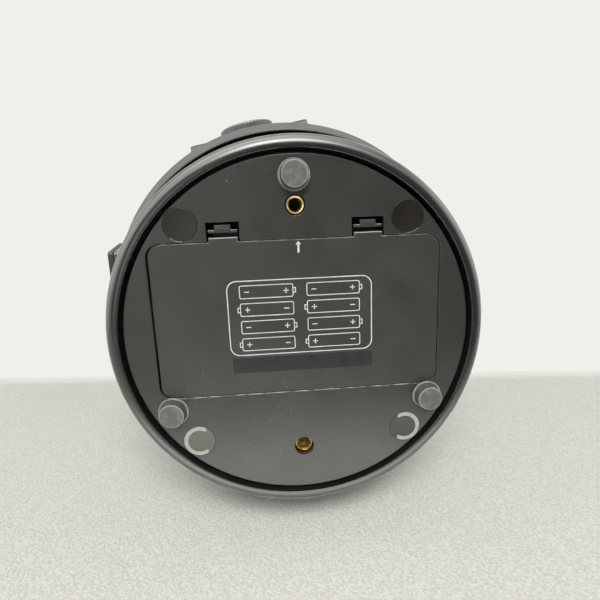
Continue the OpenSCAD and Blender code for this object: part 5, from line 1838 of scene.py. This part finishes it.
        place = on_fork(*self.flip_at, Way.OTHER_SIDE)
        flip = Build(place)
        grip = [(9.0, 0), (0.6, 0), (0, 0.6), (0, 6.2), (0.3, 6.7), (1.0, 6.9), (3.0, 6.9), (3.4, 6.6),
                (9.0, 6.6)]
        flip.fluted(9.0, 20, 0.7, grip)
        flip.lathe([(2.0, -72), (2.0, 0.2)], 32, 1)
        flip.piece("flip_grip", [BLACK_PAINT, STEEL], "flip", "black_metal", "flip_knob", crease=45)
        mark = Build(place).stroke([(0, 1.2), (0, 5.2)], 0.7, 6.62)
        mark.piece("flip_pointer", [WHITE_INK], "flip", "black_metal")

    def build(self) -> None:
        """Builds the whole tube."""
        self.barrel()
        self.cells()
        self.lens()
        self.holder()
        self.eyepiece()
        self.knobs()


@dataclass
class Finder:
    """The finder scope with its bracket and screws."""

    angle: float = -36.0
    reach: float = 78.0
    low: float = 104.0
    high: float = 222.0
    tube_r: float = 11.0
    bell_r: float = 14.5
    ring_r: float = 15.5
    ring_out: float = 18.0
    rings: Point = (122.0, 142.0)
    ring_t: float = 6.0

    def axis(self) -> Matrix:
        """The finder's own frame, with Z along the scope."""
        return on_fork(self.reach, 0, 0, Way.UP, self.angle)

    def scope(self) -> None:
        """Turns the scope with its eye cup, focusing ring and bell."""
        lo, hi, r = self.low, self.high, self.tube_r
        scope = Build(self.axis())
        grip_r, bell = r + 1.5, self.bell_r
        cup = [(5.5, lo, 0.3), (grip_r, lo, 0.8), (grip_r, lo + 3, 0.3), (r + 1.1, lo + 3.3, 0.1)]
        scope.lathe(rounded(cup, 4, False), 96, 1)
        grip = [(0.4, lo + 3.3), (0.0, lo + 3.9), (0.0, lo + 11.5), (0.4, lo + 12.1)]
        scope.fluted(grip_r, 48, 0.5, grip, 1)
        body = [(r + 1.1, lo + 12.1, 0), (grip_r, lo + 12.6, 0.2), (grip_r, lo + 14, 0.4),
                (r, lo + 15.5, 0.4), (r, hi - 32, 2.0), (bell, hi - 26, 2.0), (bell, hi - 7, 0.3),
                (bell - 0.5, hi - 6.6, 0.1), (bell - 0.5, hi - 6.0, 0.1), (bell, hi - 5.6, 0.3),
                (bell, hi, 0.5), (13.0, hi, 0.4), (13.0, hi - 25.2, 0), (9.5, hi - 31.2, 0),
                (9.5, lo + 3, 0), (5.5, lo + 3, 0), (5.5, lo, 0)]
        scope.lathe(rounded(body, 4, False), 112)
        scope.piece("finder_scope", [BLACK_PAINT, BLACK_RUBBER], "tube", "black_metal", "finder_tube",
                    crease=40)
        glass = Build(self.axis())
        wide, bulge, steps = 12.95, 0.9, 10
        front = [(wide * k / steps, hi - 4.0 - bulge * (k / steps) ** 2) for k in range(steps + 1)]
        glass.lathe(front + [(wide, hi - 8), (0, hi - 8)], 64)
        glass.lathe([(0, lo + 3.1), (9.4, lo + 3.1), (9.4, lo + 5.2), (5, lo + 5.8), (0, lo + 6)], 48)
        glass.piece("finder_glass", [GLASS], "tube", "glass", "finder_lenses")

    def bracket(self) -> None:
        """Builds the foot, the webs and the two rings."""
        foot = Build(on_fork(0, 0, 0, Way.UP, self.angle))
        edge = arc(0, 0, 52.05, -7.7, 7.7, 14)
        shape = edge + [(54.7, 7.0), (55.0, 6.7), (55.0, -6.7), (54.7, -7.0)]
        foot.plate(shape, 117, 153, 0.4, 0.4)
        for z in self.rings:
            foot.block((54.5, 61.2), (-4, 4), (z, z + self.ring_t), 0.5)
        foot.place = self.axis()
        near, far = self.ring_r, self.ring_out
        for z in self.rings:
            top = z + self.ring_t
            corners = [(near, z, 0.4), (far, z, 0.6), (far, top, 0.6), (near, top, 0.4)]
            foot.lathe(rounded(corners, 4), 112, wrap=True)
        foot.piece("finder_mount", [BLACK_PAINT], "tube", "black_metal", "finder_bracket", crease=40)

    def screws(self) -> None:
        """Builds the three thumbscrews of each ring."""
        screws = Build()
        head = [(3.0, 19), (0.3, 19), (0, 19.3), (0, 22), (0.4, 22.45), (2.2, 22.45), (3.0, 22.45)]
        for z in self.rings:
            for turn in (0, 120, 240):
                swing = Matrix.Rotation(math.radians(turn), 4, "Z")
                lift = Matrix.Translation((0, 0, z + self.ring_t / 2))
                screws.place = self.axis() @ (swing @ lift @ Way.ACROSS.value)
                screws.lathe([(0, 11.05), (1.1, 11.05), (1.5, 11.5), (1.5, 19.1)], 32)
                screws.fluted(3.0, 14, 0.4, head)
        screws.piece("finder_thumbscrews", [STEEL], "tube", "steel", "finder_screws", crease=45)

    def build(self) -> None:
        """Builds the whole finder."""
        self.scope()
        self.bracket()
        self.screws()


# Stage


@dataclass
class Studio:
    """Camera at the photograph's view, a pale table on the side that the part lies on, and soft light."""

    camera_at: tuple[float, float, float] = (11.84, 50.42, -170.5)
    forward: tuple[float, float, float] = (-0.0689, -0.2001, 0.9774)
    up: tuple[float, float, float] = (-0.0520, 0.9791, 0.1968)
    lens: float = 24.96
    sensor: float = 36.0
    # Nearest and farthest distance that is seen, in metres
    clip: Point = (0.005, 20.0)
    wall: Colour = (0.87, 0.87, 0.83)
    table_y: float = -106.6
    # Half the table's side, and where it fades out to the sides, behind and in front, in metres
    table_half: float = 0.75
    table_side: Point = (0.50, 0.70)
    table_far: float = 0.217
    table_near: float = -0.21
    far_soft: float = 0.012
    near_soft: float = 0.05
    # Slant of its far edge and of its near one
    table_skew: Point = (0.14, -0.3)
    felt: tuple[Colour, Colour] = ((0.8, 0.795, 0.765), (0.98, 0.975, 0.945))
    ambient: Colour = (1.0, 0.99, 0.96)
    ambient_level: float = 0.25
    lamp_tone: Colour = (1.0, 1.0, 0.93)
    # Range of the direction's Z, and brightness of the surround at both ends
    room: tuple[float, float, float, float] = (-0.65, -0.1, 0.12, 1.0)

    def camera(self) -> None:
        """Places the camera."""
        data = bpy.data.cameras.new("camera")
        data.lens = self.lens
        data.sensor_width = self.sensor
        data.clip_start, data.clip_end = self.clip
        cam = bpy.data.objects.new("camera", data)
        bpy.context.scene.collection.objects.link(cam)
        back = -Vector(self.forward).normalized()
        right = Vector(self.up).cross(back).normalized()
        over = back.cross(right)
        turn = Matrix((right, over, back)).transposed().to_4x4()
        cam.matrix_world = Matrix.Translation(Vector(self.camera_at) * MM) @ turn
        bpy.context.scene.camera = cam

    def table(self) -> None:
        """Lays the table, which fades out at its edges and can't be seen from behind."""
        size, y = self.table_half, self.table_y * MM
        mesh = bpy.data.meshes.new("table")
        corners = [(-size, y, -size), (-size, y, size), (size, y, size), (size, y, -size)]
        mesh.from_pydata(corners, [], [(0, 1, 2, 3)])
        obj = bpy.data.objects.new("table", mesh)
        bpy.context.scene.collection.objects.link(obj)
        t = Tree("table_felt")
        fleck = t.noise(800, 4)
        tone = t.mix(t.span(fleck, 0.35, 0.65), rgba(self.felt[0]), rgba(self.felt[1]))
        t.put(t.shader.inputs["Base Color"], tone)
        t.shader.inputs["Roughness"].default_value = 0.9
        t.bump(fleck, 0.6)
        parts = t.nodes.new("ShaderNodeSeparateXYZ")
        t.join(t.place, parts.inputs[0])
        wide = t.span(t.math("ABSOLUTE", parts.outputs[0]), *self.table_side, 1, 0)
        far, close = (t.math("SUBTRACT", parts.outputs[2], t.math("MULTIPLY", parts.outputs[0], skew))
                      for skew in self.table_skew)
        deep = t.span(far, self.table_far - self.far_soft, self.table_far + self.far_soft, 1, 0)
        near = t.span(close, self.table_near - self.near_soft, self.table_near + self.near_soft, 0, 1)
        seen = t.math("SUBTRACT", 1.0, t.nodes.new("ShaderNodeNewGeometry").outputs["Backfacing"])
        shown = t.math("MULTIPLY", t.math("MULTIPLY", wide, deep), t.math("MULTIPLY", near, seen))
        clear = t.nodes.new("ShaderNodeBsdfTransparent")
        blend = t.nodes.new("ShaderNodeMixShader")
        t.join(shown, blend.inputs[0])
        t.join(clear.outputs[0], blend.inputs[1])
        t.join(t.shader.outputs[0], blend.inputs[2])
        t.join(blend.outputs[0], t.out.inputs[0])
        mesh.materials.append(t.material)
        obj.visible_shadow = False

    def world(self) -> None:
        """A pale surround that shiny surfaces see too, with a dimmer room on the side of the camera."""
        world = bpy.data.worlds.new("surround")
        bpy.context.scene.world = world
        world.use_nodes = True
        nodes, links = world.node_tree.nodes, world.node_tree.links
        nodes.clear()
        out = nodes.new("ShaderNodeOutputWorld")
        path = nodes.new("ShaderNodeLightPath")
        way = nodes.new("ShaderNodeSeparateXYZ")
        links.new(nodes.new("ShaderNodeTexCoord").outputs["Generated"], way.inputs[0])
        room = nodes.new("ShaderNodeMapRange")
        links.new(way.outputs["Z"], room.inputs["Value"])
        for name, value in zip(("From Min", "From Max", "To Min", "To Max"), self.room):
            room.inputs[name].default_value = value
        seen = nodes.new("ShaderNodeMath")
        seen.operation = "MAXIMUM"
        links.new(path.outputs["Is Camera Ray"], seen.inputs[0])
        links.new(path.outputs["Is Transmission Ray"], seen.inputs[1])
        light = [nodes.new("ShaderNodeBackground") for _ in range(3)]
        tones = ((self.ambient, self.ambient_level), (self.wall, 1.0), (self.wall, 1.0))
        for node, (colour, strength) in zip(light, tones):
            node.inputs["Color"].default_value = rgba(colour)
            node.inputs["Strength"].default_value = strength
        links.new(room.outputs[0], light[1].inputs["Strength"])
        shine, blend = nodes.new("ShaderNodeMixShader"), nodes.new("ShaderNodeMixShader")
        links.new(path.outputs["Is Glossy Ray"], shine.inputs[0])
        links.new(light[0].outputs[0], shine.inputs[1])
        links.new(light[1].outputs[0], shine.inputs[2])
        links.new(seen.outputs[0], blend.inputs[0])
        links.new(shine.outputs[0], blend.inputs[1])
        links.new(light[2].outputs[0], blend.inputs[2])
        links.new(blend.outputs[0], out.inputs[0])

    def lamp(self, name: str, at: Sequence[float], aim: Sequence[float], size: Point, power: float,
             sheen: bool = False) -> None:
        """Adds one soft rectangular lamp.

        Args:
            name: The lamp's name.
            at: Its place, in millimetres.
            aim: The point that it faces, in millimetres.
            size: Its width and height, in millimetres.
            power: Its power in watts.
            sheen: True for one that only shiny reflections show, and that fades towards its edges.
                The others only give light.
        """
        data = bpy.data.lights.new(name, "AREA")
        data.shape = "RECTANGLE"
        data.size, data.size_y = size[0] * MM, size[1] * MM
        data.energy = power
        data.color = self.lamp_tone
        obj = bpy.data.objects.new(name, data)
        bpy.context.scene.collection.objects.link(obj)
        way = (Vector(aim) - Vector(at)).to_track_quat("-Z", "Y")
        obj.matrix_world = Matrix.Translation(Vector(at) * MM) @ way.to_matrix().to_4x4()
        obj.visible_camera = False
        obj.visible_diffuse = not sheen
        obj.visible_glossy = sheen
        if sheen:
            self.fade(data)

    def fade(self, data: bpy.types.Light) -> None:
        """Lets a lamp fade from its middle to nothing at its edges.

        Args:
            data: The lamp.
        """
        data.use_nodes = True
        nodes, links = data.node_tree.nodes, data.node_tree.links
        spot = nodes.new("ShaderNodeSeparateXYZ")
        links.new(nodes.new("ShaderNodeNewGeometry").outputs["Parametric"], spot.inputs[0])
        level = []
        for axis in range(2):
            ease = nodes.new("ShaderNodeMapRange")
            ease.interpolation_type = "SMOOTHERSTEP"
            away = nodes.new("ShaderNodeMath")
            away.operation = "PINGPONG"
            away.inputs[1].default_value = 0.5
            links.new(spot.outputs[axis], away.inputs[0])
            links.new(away.outputs[0], ease.inputs["Value"])
            ease.inputs["From Max"].default_value = 0.5
            level.append(ease)
        strength = nodes.new("ShaderNodeMath")
        strength.operation = "MULTIPLY"
        for socket, ease in zip(strength.inputs, level):
            links.new(ease.outputs[0], socket)
        links.new(strength.outputs[0], nodes["Emission"].inputs["Strength"])

    def build(self) -> None:
        """Builds the stage."""
        bpy.context.scene.view_settings.view_transform = "Standard"
        self.camera()
        self.table()
        self.world()
        self.lamp("room_light", (60, 1500, -1560), (0, 0, 0), (1380, 700), 41)
        self.lamp("lamp_sheen", (60, 1690, -1420), (0, 0, 0), (2000, 1500), 125, True)
        self.lamp("window_sheen", (170, 1340, -1040), (0, 0, 0), (6000, 1500), 112, True)
        self.lamp("ceiling_sheen", (350, 1000, -100), (350, 0, -100), (2800, 1400), 45, True)
        self.lamp("table_sheen", (10, -105, -64), (10, 0, -64), (480, 150), 0.77, True)
        self.lamp("left_sheen", (1000, 450, -250), (0, 450, -250), (1700, 1800), 21, True)
        self.lamp("right_sheen", (-1000, 450, -150), (0, 450, -150), (1500, 1800), 13, True)
        self.lamp("front_sheen", (420, 50, -900), (420, 50, 0), (900, 900), 4.0, True)
        log.info("stage built")


def main() -> None:
    """Builds and dresses the telescope."""
    logging.basicConfig(level=logging.INFO, format="%(message)s")
    Studio().build()
    Wardrobe.dress_nodes()
    for assembly in (BaseUnit(), BatteryLid(), ControlPanel(), ForkMount(), OpticalTube(), Finder()):
        assembly.build()
        log.info("%s built", type(assembly).__name__)


if __name__ == "__main__":
    main()
